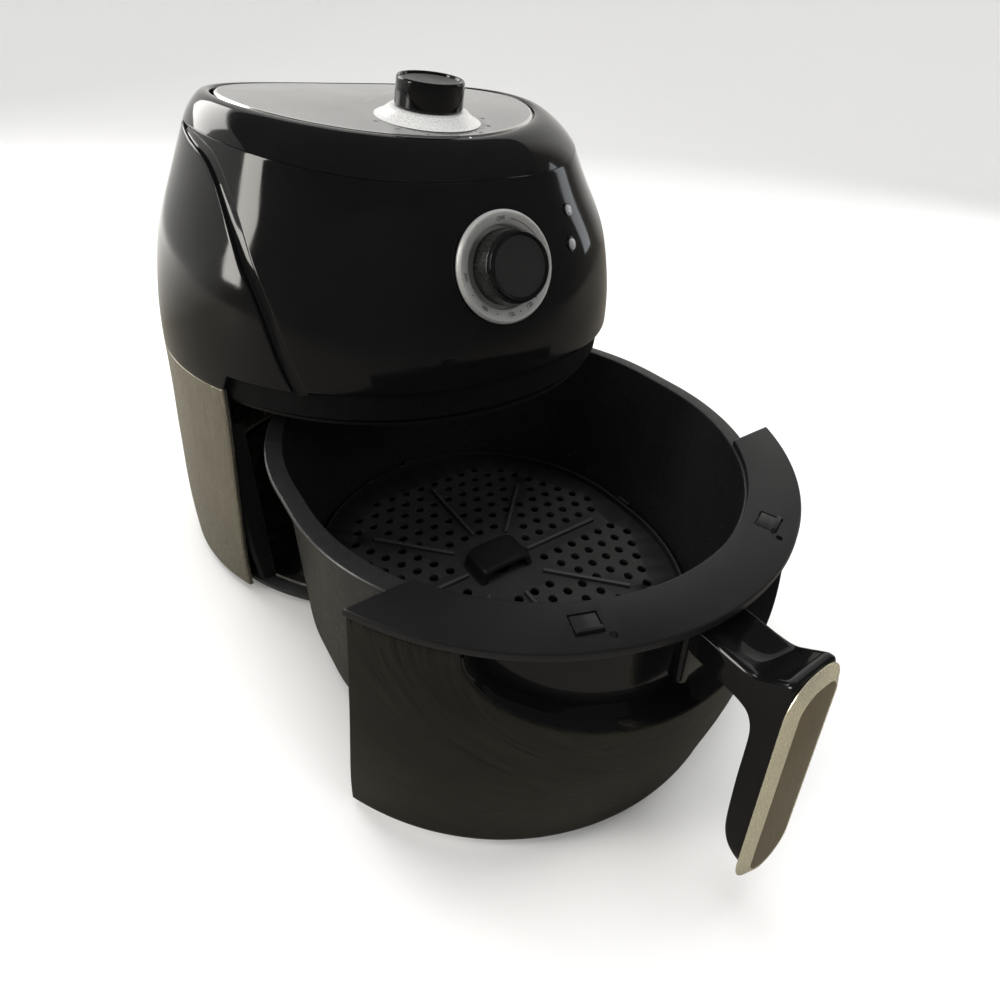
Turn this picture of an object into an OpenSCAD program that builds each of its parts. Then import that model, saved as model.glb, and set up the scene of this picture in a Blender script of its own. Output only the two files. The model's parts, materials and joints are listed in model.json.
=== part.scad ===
// Countertop air fryer, round egg-shaped body with a pull-out pan drawer.
// Front is -Y, up is +Z, millimetres. The drawer is drawn part way open.

/* [Overall] */
// height of the body at the highest point of the top plate
body_h = 300; // [297:1:303]
// how far the drawer stands open as drawn
travel = 150; // [130:1:152]
// height of the rubber feet
foot_h = 5; // [4.5:0.5:5]
// wall of the plastic covers
wall = 3; // [2.5:0.1:3.2]

/* [Drawer] */
// inner radius of the pan at its rim
pan_r = 118; // [116:0.5:118]
// inner radius of the pan at its floor
pan_r0 = 108; // [106:0.5:109]
// height of the pan floor
pan_z0 = 22; // [20:0.5:23]
// wall of the pan
pan_wall = 1.5; // [1.2:0.1:1.8]
// thickness of the collar ring on the drawer
collar_t = 3.4; // [2.8:0.1:3.6]
// width of the silver handle plate
handle_w = 34; // [33:0.5:35]
// diameter of one hole in the crisper tray
hole_d = 5.6; // [4.5:0.1:6.2]

/* [Controls] */
// radius of the timer knob on top
timer_r = 19.7; // [18.5:0.1:20.2]
// height of the timer knob
timer_h = 16; // [15.5:0.5:18]
// outer radius of the temperature dial ring
ring_r = 29.8; // [29:0.1:30.4]
// radius of the temperature knob at its foot
skirt_r = 20.2; // [19:0.1:20.6]
// radius of the temperature knob at its face
cap_r = 18.2; // [17:0.1:18.6]
// how far the temperature knob stands out
dial_h = 15; // [13:0.5:16]

/* [Hidden] */
yoff = 94.75;            // puts the middle of the drawn outline on Y = 0
n = 72;                 // steps around the covers
zc = 134;               // top of the pan rim
rho = 800;             // bend of the top, front to back
ytop = 60;              // where the top is highest
pcy = 0;              // middle of the pan
pst = 10;               // half of the pan's straight side
tilt_t = 8.2;             // lean of the timer knob
tilt_d = 17.7;          // lean of the front dial
ty = -54;               // timer knob position
dc = [0, -137.8, 225.6]; // front dial centre
z_cov = 166;            // lower edge of the front cover
z_low = 156;            // top edge of the lower housing

RT = [[5,141.5],[12,142.3],[25,143.6],[40,144.8],[60,145.7],[80,146.1],[100,146.5],[118,146.6],[134,146.8],[150,147.4],[166,147.8],[180,147.5],[195,146.2],[210,144.2],[225,141.4],[240,136.5],[252,131.6],[263,127.4],[273,123.7],[284,119.7],[296,115.2]];
YT = [[5,4.9],[12,4.2],[25,2.4],[40,0],[60,-2.7],[80,-4.4],[100,-5.5],[118,-5.9],[134,-6.3],[150,-6.9],[166,-7.5],[180,-7.6],[195,-7.1],[210,-6.3],[225,-5],[240,-2.6],[252,-0.4],[263,1.1],[273,2.1],[284,2.9],[296,3.3]];
HT = [[137,0],[168,6.5],[225,8.4],[252,8],[286,9.5]]; // how far the upper front is flattened
function rr(z) = lookup(z, RT);
function yy(z) = lookup(z, YT);
function fl(a,z) = lookup(z, HT)*exp(-pow(((a+630)%360-180)/24,2)); // a = 270 is the front
function ra(a,z) = rr(z)-fl(a,z);
function zs(y) = -(y-ytop)*(y-ytop)/(2*rho);
function lv(a,b) = concat([a],[for(p=RT) if(p[0]>a+2 && p[0]<b-2) p[0]],[b]);

// closed solid with the outline of the body, drawn in by off
module loft(off, z0, z1) {
  L = lv(z0,z1); m = len(L);
  pts = [for(z=L) for(i=[0:n-1]) let(a=360*i/n) [(ra(a,z)-off)*cos(a), yy(z)+(ra(a,z)-off)*sin(a), z]];
  polyhedron(pts, concat(
    [[for(i=[0:n-1]) i]],
    [[for(i=[n-1:-1:0]) (m-1)*n+i]],
    [for(k=[0:m-2]) for(i=[0:n-1]) [k*n+i, (k+1)*n+i, (k+1)*n+(i+1)%n, k*n+(i+1)%n]]));
}
module shell(o1, o2, z0, z1) { difference() { loft(o1,z0,z1); loft(o2,z0-1,z1+1); } }
module wedge(a, z0, z1, r=220) { // front sector between -90-a and -90+a
  translate([0,0,z0]) linear_extrude(z1-z0)
    polygon([[0,0],[r*sin(-a),-r*cos(a)],[-r,-r-60],[r,-r-60],[r*sin(a),-r*cos(a)]]);
}
module under_top(d, rad=400) { // everything below the bent top, moved down by d
  translate([-rad,0,0]) rotate([90,0,90]) linear_extrude(2*rad)
    polygon(concat([for(y=[-220:10:220]) [y,body_h-d+zs(y)]],[[220,0],[-220,0]]));
}
module B() { translate([0,yoff,0]) children(); }          // fixed body
module D() { translate([0,yoff-travel,0]) children(); }   // drawer
module at_timer() { translate([0,ty,body_h-0.8+zs(ty)]) rotate([tilt_t,0,0]) children(); }
module at_dial() { translate(dc) rotate([90-tilt_d,0,0]) children(); }

// S-shaped line between front cover and rear housing, seen from the side (y,z)
SC = [[-115.5,158],[-112.2,166],[-107.6,179],[-102.9,191.6],[-97.5,204],[-91,215.5],[-83.2,226.5],[-74.6,237],[-65,247],[-55.6,256],[-45.4,265],[-34.5,272],[-20,276.8],[-6,279.8],[12,282.6],[38,286.2],[60,289]];
function nrm(i) = let(a=SC[max(i-1,0)], b=SC[min(i+1,len(SC)-1)], t=b-a) [-t[1],t[0]]/norm(t);
function soff(d) = [for(i=[0:len(SC)-1]) SC[i]+(i<=13?1:0.03)*d*nrm(i)];
module side_cut(pts) { rotate([90,0,90]) translate([0,0,-200]) linear_extrude(400) polygon(pts); }
module front_region(d) side_cut(concat([[-240,150],[SC[0][0]-d*0.9,150]], soff(d), [[60,330],[-240,330]]));

// ---------- base ----------
module base_plate() color([0.08,0.08,0.085]) B() difference() {
  translate([0,4.4,foot_h]) cylinder(r1=135.8,r2=137.4,h=9.9-foot_h,$fn=144);
  for(a=[45,135,225,315]) rotate(a) translate([106,0,foot_h-1]) cylinder(r=2.2,h=6,$fn=24);
  for(i=[-4:4]) translate([i*11-2,40,foot_h-1]) cube([4,50,6]);
}
module rubber_feet() color([0.05,0.05,0.05]) B() for(a=[45,135,225,315]) rotate(a) translate([106,0,0]) {
  difference() { union() { cylinder(r1=8.2,r2=9,h=1.5,$fn=48); translate([0,0,1.5]) cylinder(r=9,h=foot_h-1.5,$fn=48); }
    translate([0,0,-0.5]) cylinder(r=4.5,h=4.2,$fn=32); }
}
module base_screws() color([0.6,0.6,0.6]) B() for(a=[45,135,225,315]) rotate(a) translate([106,0,0]) {
  translate([0,0,2.1]) cylinder(r=4.2,h=1.4,$fn=32);
}
module lower_housing() color([0.62,0.6,0.56]) B() difference() {
  shell(0,wall,5.2,z_low);
  wedge(62,2,z_low+1);
  translate([0,0,34]) rotate([-90,0,0]) cylinder(r=8.1,h=200,$fn=48);
}
module bay_frame() color([0.03,0.03,0.03]) B() {
  // liner walls beside the pan, trimmed to the inside of the housing
  intersection() {
    union() for(s=[-1,1]) translate([s*129.8-1.2,-64,16]) cube([2.4,108,129.6]);
    loft(wall+0.3,16,145.6);
  }
  // front flange around the drawer opening
  intersection() {
    translate([-160,-68,16]) cube([320,4.4,144]);
    loft(wall+0.3,15,161);
    difference() {
      translate([-170,-90,0]) cube([340,60,200]);
      translate([0,-20,0]) rotate([90,0,0]) linear_extrude(90) polygon([[-112.6,14],[112.6,14],[122.8,131],[128.2,131],[128.2,170],[-128.2,170],[-128.2,131],[-122.8,131]]);
    }
  }
  // dark band above the drawer opening
  intersection() { shell(4.2,6.7,150,z_cov-0.3); wedge(68,149,170); }
}
module bay_floor() color([0.5,0.5,0.5]) B() difference() {
  translate([0,0,13]) linear_extrude(2) intersection() { circle(r=130,$fn=120); translate([-130,-100]) square([260,230]); }
  for(i=[-3:3]) translate([i*24-6,60,12]) cube([12,3,4]);
}
module drawer_rails() color([0.05,0.05,0.05]) B() for(s=[-1,1]) {
  translate([s>0?124.2:-128.4,-60,123.5]) cube([4.2,100,8.7]);
  translate([s>0?125.6:-128.4,-60,104]) cube([2.8,100,19.5]);
}
module chamber_deck() color([0.7,0.7,0.68]) B() translate([0,0,145.8]) linear_extrude(1.8) difference() {
  translate([0,-6.9]) circle(r=140.3,$fn=120); circle(r=112.6,$fn=120);
}
module heat_chamber() color([0.75,0.75,0.73]) B() difference() {
  union() {
    translate([0,0,147.8]) rotate_extrude($fn=120) polygon([[111,0],[122,0],[122,1.6],[112.6,1.6],[112.6,40],[96,54],[0,54],[0,52.4],[95.3,52.4],[111,39.3]]);
  }
  translate([0,0,190]) cylinder(r=9,h=20,$fn=48);
  translate([70,0,190]) cylinder(r=2.6,h=20,$fn=24);
  for(s=[-1,1]) translate([s*16,-88,190]) cylinder(r=3.1,h=20,$fn=24);
}
module insulation_ring() color([0.85,0.83,0.76]) B() translate([0,0,149.6]) rotate_extrude($fn=96) polygon([[112.9,0],[120,0],[120,36],[112.9,36]]);
module heating_element() color([0.35,0.33,0.32]) B() {
  for(r=[46,66,86]) translate([0,0,166]) rotate_extrude($fn=96) translate([r,0]) circle(r=3.2,$fn=24);
  for(a=[20,160,270]) rotate(a) translate([42,-2,162]) cube([48,4,1.2]);
  for(s=[-1,1]) translate([s*16,-88,164]) cylinder(r=3,h=46,$fn=24);
  for(s=[-1,1]) translate([s*16,-88,166]) sphere(r=3.2,$fn=24);
}
module element_guard() color([0.6,0.6,0.6]) B() translate([0,0,153.4]) linear_extrude(1.6) {
  for(r=[24,42,60,78,96,110]) difference() { circle(r=r+1,$fn=96); circle(r=r-1,$fn=96); }
  for(a=[0:45:315]) rotate(a) translate([23.5,-1]) square([87,2]);
}
// ---------- fan and motor ----------
module fan_blade() color([0.7,0.7,0.7]) B() difference() {
  union() {
    translate([0,0,182]) cylinder(r=8,h=9,$fn=48);
    for(i=[0:9]) rotate(i*36) translate([6,-0.6,181]) rotate([28,0,0]) cube([50,1.2,14]);
    translate([0,0,188]) cylinder(r=30,h=1.2,$fn=72);
  }
  translate([0,0,170]) cylinder(r=2.5,h=40,$fn=32);
}
module motor_shaft() color([0.8,0.8,0.8]) B() translate([0,0,180]) cylinder(r=2.5,h=66,$fn=32);
module fan_motor() color([0.55,0.5,0.42]) B() difference() {
  union() { translate([0,0,212]) cylinder(r=27,h=20,$fn=72); translate([0,0,208]) cylinder(r=11,h=4,$fn=48); translate([0,0,232]) cylinder(r=9,h=3,$fn=48); }
  translate([0,0,200]) cylinder(r=2.55,h=60,$fn=32);
}
module motor_bracket() color([0.6,0.6,0.62]) B() difference() {
  union() {
    for(s=[-1,1]) { translate([s*31-1,-12,202]) cube([2,24,20]); translate([s>0?27.4:-42,-12,222]) cube([14.6,24,1.6]); }
    translate([-42,-15,201.9]) cube([84,30,1.6]);
  }
  translate([0,0,190]) cylinder(r=12,h=30,$fn=48);
  translate([0,0,211.9]) cylinder(r=27.3,h=40,$fn=72);
}
module cooling_fan() color([0.15,0.15,0.16]) B() difference() {
  union() {
    translate([0,0,236.6]) cylinder(r=8,h=8,$fn=48);
    for(i=[0:6]) rotate(i*360/7) translate([6,-0.8,236]) rotate([32,0,0]) cube([34,1.6,10]);
  }
  translate([0,0,230]) cylinder(r=2.5,h=30,$fn=32);
}
// ---------- controls, fixed pieces ----------
module timer_unit() color([0.75,0.74,0.7]) B() at_timer() difference() {
  union() { translate([-22,-17,-31]) cube([44,34,22]); translate([0,0,-9]) cylinder(r=6,h=6.6,$fn=32); translate([-26,-6,-9.6]) cube([52,12,1.2]); }
  translate([0,0,-40]) cylinder(r=3.05,h=60,$fn=32);
}
module timer_bell() color([0.8,0.78,0.7]) B() at_timer() translate([30,0,-27]) rotate_extrude($fn=48) polygon([[0,0],[7,0],[7,1.5],[7.6,5],[5,7.5],[0,8.2]]);
module timer_hub() color([0.8,0.79,0.77]) B() at_timer()
  rotate_extrude($fn=96) polygon([[3.6,0.05],[30,0.05],[30,0.9],[27,2.2],[24.4,4],[22.4,5.6],[19,6],[3.6,6]]);
module thermostat() color([0.78,0.77,0.72]) B() at_dial() difference() {
  union() { translate([-15,-15,-34]) cube([30,30,18]); translate([0,0,-16]) cylinder(r=5.5,h=8.9,$fn=32); translate([15,-3,-30]) cube([8,6,0.8]); translate([-23,-3,-30]) cube([8,6,0.8]); }
  translate([0,0,-50]) cylinder(r=3.05,h=60,$fn=32);
}
module thermal_fuse() color([0.85,0.85,0.8]) B() { translate([70,0,202.4]) cylinder(r=7,h=7,$fn=32); translate([60,-4,209.4]) cube([20,8,0.8]); translate([70,0,180]) cylinder(r=2.5,h=22.4,$fn=24); }
module terminal_block() color([0.9,0.9,0.88]) B() difference() { translate([-20,92,216]) cube([40,14,12]); for(i=[-1:1]) translate([i*12,99,219]) cylinder(r=2.2,h=12,$fn=24); }
module microswitch() color([0.1,0.1,0.1]) B() { translate([134.2,-16,112]) cube([6.4,20,10]); translate([137,-10,122]) cube([1.4,8,6]); }
module dial_ring() color([0.8,0.8,0.79]) B() at_dial() rotate_extrude($fn=120)
  polygon([[3.6,-7],[27.6,-7],[27.6,-0.1],[ring_r,0.2],[ring_r,1.6],[ring_r-1.6,3.2],[ring_r-2.2,3.1],[22.2,0.2],[22.2,-5.4],[3.6,-5.4]]);
module at_lens(az,z,o) { translate([0,yy(z),z]) rotate([0,0,az]) translate([ra(az,z),0,0]) rotate([0,90-o,0]) children(); }
module lens(az,z,o) at_lens(az,z,o) { translate([0,0,-6]) cylinder(r=3.4,h=6.5,$fn=48); translate([0,0,0.5]) rotate_extrude($fn=48) polygon([[0,0],[3.4,0],[2.9,0.55],[1.6,0.95],[0,1.1]]); }
module lens_power() color([0.75,0.78,0.8]) B() lens(-65,246.4,23);
module lens_heat() color([0.75,0.78,0.8]) B() lens(-67.8,229.7,18);

// ---------- covers ----------
module front_cover() color([0.03,0.03,0.035]) B() difference() {
  intersection() { shell(0,wall,z_cov,294); under_top(14.2); front_region(2.6); }
  at_dial() translate([0,0,-9]) cylinder(r=27.9,h=30,$fn=96);
  at_lens(-65,246.4,23) translate([0,0,-8]) cylinder(r=3.6,h=16,$fn=48);
  at_lens(-67.8,229.7,18) translate([0,0,-8]) cylinder(r=3.6,h=16,$fn=48);
}
module rear_housing() color([0.03,0.03,0.035]) B() difference() {
  intersection() { shell(0,wall,z_low+0.3,294); under_top(14.2); }
  front_region(-2.6);
  wedge(62,150,z_cov);
  translate([-46,100,196]) cube([92,80,56]);
}
module trim_strip(s) intersection() {
  shell(1.4,wall-0.2,z_cov-2,288);
  rotate([90,0,90]) translate([0,0,s>0?0:-200]) linear_extrude(200)
    polygon(concat([for(i=[1:13]) SC[i]+2.4*nrm(i)], [for(i=[13:-1:1]) SC[i]-2.4*nrm(i)]));
}
module trim_strip_left() color([0.02,0.02,0.02]) B() trim_strip(-1);
module trim_strip_right() color([0.02,0.02,0.02]) B() trim_strip(1);

// rim that rounds the body over to the top plate
function zcr(a) = body_h-13.8+zs(3+(a>180?109.5:119)*sin(a));
function rcr(a) = ra(a,zcr(a));
module top_rim() color([0.03,0.03,0.03]) B() {
  S = [[0,0],[0.26,5.2],[0.56,9.6],[0.84,12.7],[0.95,13.5],[1.16,13.6],[1.36,13.2],[1.4,12.4],[1.4,9.4],[1.2,7.4],[0.8,4.5],[0.2,0]];
  m = len(S);
  pts = [for(i=[0:n-1]) let(a=360*i/n, r0=rcr(a), y0=yy(zcr(a))) for(k=[0:m-1])
    let(r=(1-S[k][0])*r0+S[k][0]*107, yc=(1-min(1,S[k][0]))*y0+min(1,S[k][0])*10, y=yc+r*sin(a))
    [r*cos(a), y, body_h-13.8+(S[k][0]==0?zs(11+119*sin(a)):zs(y))+S[k][1]]];
  polyhedron(pts, [for(i=[0:n-1]) for(k=[0:m-1]) [i*m+k, i*m+(k+1)%m, ((i+1)%n)*m+(k+1)%m, ((i+1)%n)*m+k]]);
}
module top_plate() color([0.8,0.79,0.77]) B() difference() {
  intersection() { translate([0,10,250]) cylinder(r=100,h=60,$fn=144); under_top(0.8,120); }
  under_top(2.4,130);
  at_timer() translate([0,0,-20]) cylinder(r=4,h=40,$fn=32);
}
module plate_carrier() color([0.1,0.1,0.1]) B() difference() {
  intersection() { translate([0,10,250]) cylinder(r=99.8,h=60,$fn=144); under_top(2.5,120); }
  under_top(5,130);
  at_timer() translate([0,0,-20]) cylinder(r=9,h=40,$fn=32);
}
module rear_grille() color([0.05,0.05,0.05]) B() {
  intersection() {
    shell(0.6,wall,192,256);
    difference() { translate([-45.6,100,196.4]) cube([91.2,80,55.2]); for(i=[0:6]) translate([-40,90,200.4+i*7.2]) cube([80,100,4]); }
  }
}
module cord_gland() color([0.04,0.04,0.04]) B() translate([0,0,34]) difference() {
  union() {
    translate([0,134,0]) rotate([-90,0,0]) cylinder(r=8,h=13.5,$fn=48);
    translate([0,146.3,0]) rotate([-90,0,0]) rotate_extrude($fn=48) polygon([[0,0],[11,0],[11,1.2],[9,2.3],[6.5,3.1],[0,3.1]]);
  }
  translate([0,120,0]) rotate([-90,0,0]) cylinder(r=3.4,h=60,$fn=32);
}

// ---------- drawer ----------
module stad(r) { // pan outline
  translate([0,pcy-pst]) circle(r=r,$fn=144); translate([0,pcy+pst]) circle(r=r,$fn=144);
  translate([-r,pcy-pst]) square([2*r,2*pst]);
}
module tub(r0,z0,r1,z1) {
  for(s=[-1,1]) translate([0,pcy+s*pst,z0]) cylinder(r1=r0,r2=r1,h=z1-z0,$fn=144);
  translate([0,pcy+pst,0]) rotate([90,0,0]) linear_extrude(2*pst) polygon([[-r0,z0],[r0,z0],[r1,z1],[-r1,z1]]);
}
module pan() color([0.06,0.06,0.065]) D() difference() {
  union() {
    tub(pan_r0-3,pan_z0-pan_wall,pan_r0+pan_wall,pan_z0+4);
    tub(pan_r0+pan_wall,pan_z0+4,pan_r+pan_wall,zc);
    translate([0,0,zc-1.5]) linear_extrude(1.5) intersection() { stad(127); translate([-150,-150]) square([300,283]); }
  }
  tub(pan_r0-4,pan_z0,pan_r0,pan_z0+4);
  tub(pan_r0,pan_z0+4,pan_r,zc+0.01);
}
module collar() color([0.05,0.05,0.05]) D() difference() {
  translate([0,0,zc]) linear_extrude(collar_t) difference() {
    translate([0,-6.3]) circle(r=146.2,$fn=144);
    stad(119);
    translate([-200,-75]) square([400,400]);
    for(s=[-1,1]) translate([s*50,-136.8]) circle(r=1.6,$fn=24);
  }
  for(s=[-1,1]) translate([s*55.5,-127.6,zc+collar_t-1.2]) rotate(s*20) translate([-6,-5,0]) cube([12,10,3]);
}
module collar_clips() color([0.07,0.07,0.07]) D() for(s=[-1,1]) translate([s*55.5,-127.6,zc+collar_t-1.1]) rotate(s*20) {
  translate([-5.4,-4.4,0]) cube([10.8,8.8,1.2]); translate([-5.4,-4.4,1.2]) cube([10.8,1.8,1.4]);
}
module smile(d) translate([0,-50,0]) rotate([90,0,0]) linear_extrude(140) // curved outline of the recess, grown by d
  polygon(concat([[100.5+d,152],[-100.5-d,152]], [for(i=[0:48]) let(a=180+i*3.75, c=cos(a), q=sin(a))
    [(100.5+d)*(c<0?-1:1)*pow(abs(c),0.889), 136-(50+d)*pow(abs(q),0.889)]]));
module fascia() color([0.35,0.34,0.32]) D() difference() {
  intersection() { shell(0.7,0.7+wall-0.4,5.3,zc-0.2); wedge(60.2,2,zc); }
  smile(0);
}
module fascia_inset() color([0.02,0.02,0.02]) D() intersection() {
  union() {
    intersection() { shell(9,11,84,132.2); smile(-0.2); }
    difference() {
      intersection() { shell(0.9,9.1,84,132.2); smile(-0.2); }
      smile(-2.6);
    }
  }
  difference() { translate([-120,-200,60]) cube([240,140,80]); translate([-13.6,-210,112.6]) cube([27.2,160,40]); }
}
module pan_bracket() color([0.55,0.55,0.56]) D() difference() {
  union() {
    translate([-13.8,-131.8,106]) cube([27.6,1.8,24]);
    for(s=[-1,1]) translate([s*12.8-1,-131.8,106]) cube([2,3,24]);
  }
  for(s=[-1,1]) translate([s*7.5,-150,120.5]) rotate([-90,0,0]) cylinder(r=1.6,h=40,$fn=24);
  tub(pan_r0+pan_wall+0.2,pan_z0+4,pan_r+pan_wall+0.2,zc);
}
hb = 3.8;                 // bevel of the handle's silver edge, seen from the front
hp = handle_w/2-hb;       // half width of the flat face
module grip_outline() { // side view, drawn as (y,z)
  polygon([[-131.9,127.8],[-131.9,113],[-150,113.2],[-165.4,112.4],[-169.4,111.9],[-172,110.2],[-173.8,107.2],[-174.8,103.2],[-175,94],[-174.9,80],[-175.1,64],[-175.4,53],[-176,47.6],[-177.7,43.4],[-180.4,40],[-183.2,36],[-185.9,32.2],[-185.9,138],[-184.2,137.4],[-181.4,135.8],[-178,133.6],[-174.8,131.2],[-172,129.3],[-168,128.3],[-163,128]]);
}
module handle_grip() color([0.02,0.02,0.02]) D() difference() {
  intersection() {
    translate([-hp,0,0]) rotate([90,0,90]) linear_extrude(2*hp) grip_outline();
    translate([0,-125,0]) rotate([90,0,0]) linear_extrude(70) union() { translate([0,31.6+hp]) circle(r=hp,$fn=96); translate([-hp,31.6+hp]) square([2*hp,110]); }
  }
  translate([0,-146,155.5]) rotate([90,0,0]) cylinder(r=30,h=25.5,$fn=96);
  for(s=[-1,1]) translate([s*7.5,-128,120.5]) rotate([90,0,0]) cylinder(r=1.5,h=16,$fn=24);
}
module face2(e) { // front view of the flat face, drawn in by e
  translate([0,31.6+hp]) circle(r=hp-e,$fn=96);
  for(s=[-1,1]) translate([s*(hp-11),124.1]) circle(r=11-e,$fn=64);
  translate([-hp+e,31.6+hp]) square([2*(hp-e),92.5-hp]);
  translate([-hp+11,31.6+hp]) square([2*(hp-11),103.5-hp-e]);
}
module handle_trim() color([0.82,0.81,0.79]) D() difference() {
  union() {
    translate([0,-186,31.6+hp]) rotate([90,0,0]) cylinder(r1=hp+hb,r2=hp,h=2.9,$fn=96);
    for(s=[-1,1]) translate([s*(hp-11),-186,124.1]) rotate([90,0,0]) cylinder(r1=11+hb,r2=11,h=2.9,$fn=64);
    translate([0,0,31.6+hp]) linear_extrude(92.5-hp) polygon([[-hp-hb,-186],[hp+hb,-186],[hp,-188.9],[-hp,-188.9]]);
    translate([-hp+11,0,0]) rotate([90,0,90]) linear_extrude(2*(hp-11)) polygon([[-186,100],[-186,135.1+hb],[-188.9,135.1],[-188.9,100]]);
  }
  translate([0,-187.3,0]) rotate([90,0,0]) linear_extrude(5) face2(0.5);
}
module handle_plate() color([0.78,0.77,0.75]) D() translate([0,-187.3,0]) rotate([90,0,0]) linear_extrude(1.6) face2(0.6);
module handle_screws() color([0.6,0.6,0.6]) D() for(s=[-1,1]) translate([s*7.5,-129.6,120.5]) rotate([90,0,0]) cylinder(r=1.5,h=13.9,$fn=24);

// ---------- crisper tray ----------
tz = 37;  // top face of the tray
module crisper_tray() color([0.07,0.07,0.07]) D() difference() {
  union() {
    difference() {
      translate([0,0,tz-1.6]) linear_extrude(1.6) stad(105.6);
      for(i=[-8:8]) for(j=[-9:9]) let(x=i*11.4+(j%2==0?0:5.7), y=j*9.9)
        if(norm([x,max(0,abs(y)-pst)])<93 && norm([x,y])>25 && abs(y)>4.5 && abs(x)>3.6 && abs(abs(x)-abs(y))>5.2)
          translate([x,pcy+y,tz-3]) cylinder(d=hole_d,h=6,$fn=24);
      translate([0,pcy,tz-3]) cylinder(r=8,h=6,$fn=32);
    }
    translate([0,0,tz-5]) linear_extrude(9) difference() { stad(105.6); stad(104); }
    for(a=[0,180]) rotate([0,0,0]) translate([(a==0?1:-1)*50-28,pcy-0.9,tz-0.6]) cube([56,1.8,3]);
    for(a=[45,135,225,315]) translate([0,pcy,0]) rotate(a) translate([28,-0.9,tz-0.6]) cube([52,1.8,3]);
    for(a=[90,270]) translate([0,pcy,0]) rotate(a) translate([28,-0.9,tz-0.6]) cube([54,1.8,3]);
    for(a=[0:90:270]) translate([0,pcy,0]) rotate(a+45) translate([88,0,pan_z0+0.2]) cylinder(r=5,h=tz-0.8-pan_z0-0.2,$fn=32);
  }
}
module tray_dome() color([0.3,0.3,0.3]) D() translate([0,pcy,tz]) difference() {
  union() { rotate([90,0,0]) translate([0,0,-11]) linear_extrude(22) polygon([[-19,0],[19,0],[17,6],[12.5,10.5],[-12.5,10.5],[-17,6]]); }
  rotate([90,0,0]) translate([0,0,-20]) linear_extrude(40) polygon([[-16,-1],[16,-1],[14.6,5],[11.4,8.4],[-11.4,8.4],[-14.6,5]]);
}
module tray_bumpers() color([0.12,0.12,0.12]) D() for(a=[0,90,180,270])
  translate([0,pcy+(a==90?pst:a==270?-pst:0),0]) rotate(a) translate([105.8,-5,tz-4]) cube([1.7,10,10]);

// ---------- turning controls ----------
module timer_knob() color([0.02,0.02,0.02]) B() at_timer() difference() {
  translate([0,0,6.4]) rotate_extrude($fn=120) polygon([[0,0],[timer_r-0.8,0],[timer_r,0.8],[timer_r,timer_h-1.2],[timer_r-1,timer_h],[timer_r-2.2,timer_h-0.2],[timer_r-3,timer_h-1.8],[0,timer_h-1.8]]);
  translate([0,0,6]) cylinder(r=15.5,h=9,$fn=72);
  translate([0,0,0]) cylinder(r=3,h=18,$fn=32);
}
module timer_cap() color([0.1,0.1,0.1]) B() at_timer() translate([0,0,6.4+timer_h-1.8]) cylinder(r1=timer_r-3.1,r2=timer_r-3.4,h=0.7,$fn=96);
module timer_shaft() color([0.7,0.7,0.7]) B() at_timer() translate([0,0,-30]) cylinder(r=3,h=47.9,$fn=32);
module dial_skirt() color([0.75,0.74,0.72]) B() at_dial() difference() {
  translate([0,0,0.8]) rotate_extrude($fn=120) polygon([[0,0],[skirt_r,0],[skirt_r,1],[cap_r+0.6,dial_h-3.2],[0,dial_h-3.2]]);
  translate([0,0,0]) cylinder(r=15,h=7,$fn=72);
  translate([0,0,0]) cylinder(r=3,h=10,$fn=32);
}
module dial_cap() color([0.03,0.03,0.03]) B() at_dial() translate([0,0,dial_h-2.4]) rotate_extrude($fn=120)
  polygon([[0,0],[cap_r,0],[cap_r,1.9],[cap_r-0.7,2.4],[cap_r-1.5,2.2],[cap_r-2,1.5],[0,1.5]]);
module dial_shaft() color([0.7,0.7,0.7]) B() at_dial() translate([0,0,-33]) cylinder(r=3,h=42.9,$fn=32);

base_plate();
rubber_feet();
base_screws();
lower_housing();
bay_frame();
bay_floor();
drawer_rails();
chamber_deck();
heat_chamber();
insulation_ring();
heating_element();
element_guard();
fan_blade();
motor_shaft();
fan_motor();
motor_bracket();
cooling_fan();
timer_unit();
timer_bell();
timer_hub();
thermostat();
thermal_fuse();
terminal_block();
microswitch();
dial_ring();
lens_power();
lens_heat();
front_cover();
rear_housing();
trim_strip_left();
trim_strip_right();
top_rim();
top_plate();
plate_carrier();
rear_grille();
cord_gland();
pan();
collar();
collar_clips();
fascia();
fascia_inset();
pan_bracket();
handle_grip();
handle_trim();
handle_plate();
handle_screws();
crisper_tray();
tray_dome();
tray_bumpers();
timer_knob();
timer_cap();
timer_shaft();
dial_skirt();
dial_cap();
dial_shaft();
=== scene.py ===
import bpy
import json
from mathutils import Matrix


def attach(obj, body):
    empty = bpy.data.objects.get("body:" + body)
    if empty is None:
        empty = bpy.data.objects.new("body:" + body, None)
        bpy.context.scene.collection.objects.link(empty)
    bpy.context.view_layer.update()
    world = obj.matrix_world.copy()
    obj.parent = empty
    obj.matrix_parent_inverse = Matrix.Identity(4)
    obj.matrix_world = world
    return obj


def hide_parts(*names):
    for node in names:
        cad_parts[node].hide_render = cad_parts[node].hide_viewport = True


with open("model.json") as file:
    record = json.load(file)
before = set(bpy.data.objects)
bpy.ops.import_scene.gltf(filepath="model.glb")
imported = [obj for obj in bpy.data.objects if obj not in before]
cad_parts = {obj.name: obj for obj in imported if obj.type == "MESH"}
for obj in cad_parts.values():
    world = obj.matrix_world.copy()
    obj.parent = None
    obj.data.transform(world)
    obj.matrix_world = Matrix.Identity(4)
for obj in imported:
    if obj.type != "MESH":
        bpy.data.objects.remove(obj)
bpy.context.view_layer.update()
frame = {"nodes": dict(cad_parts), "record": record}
import bpy, bmesh, json, math, random
import numpy as np
from mathutils import Vector, Matrix

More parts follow.
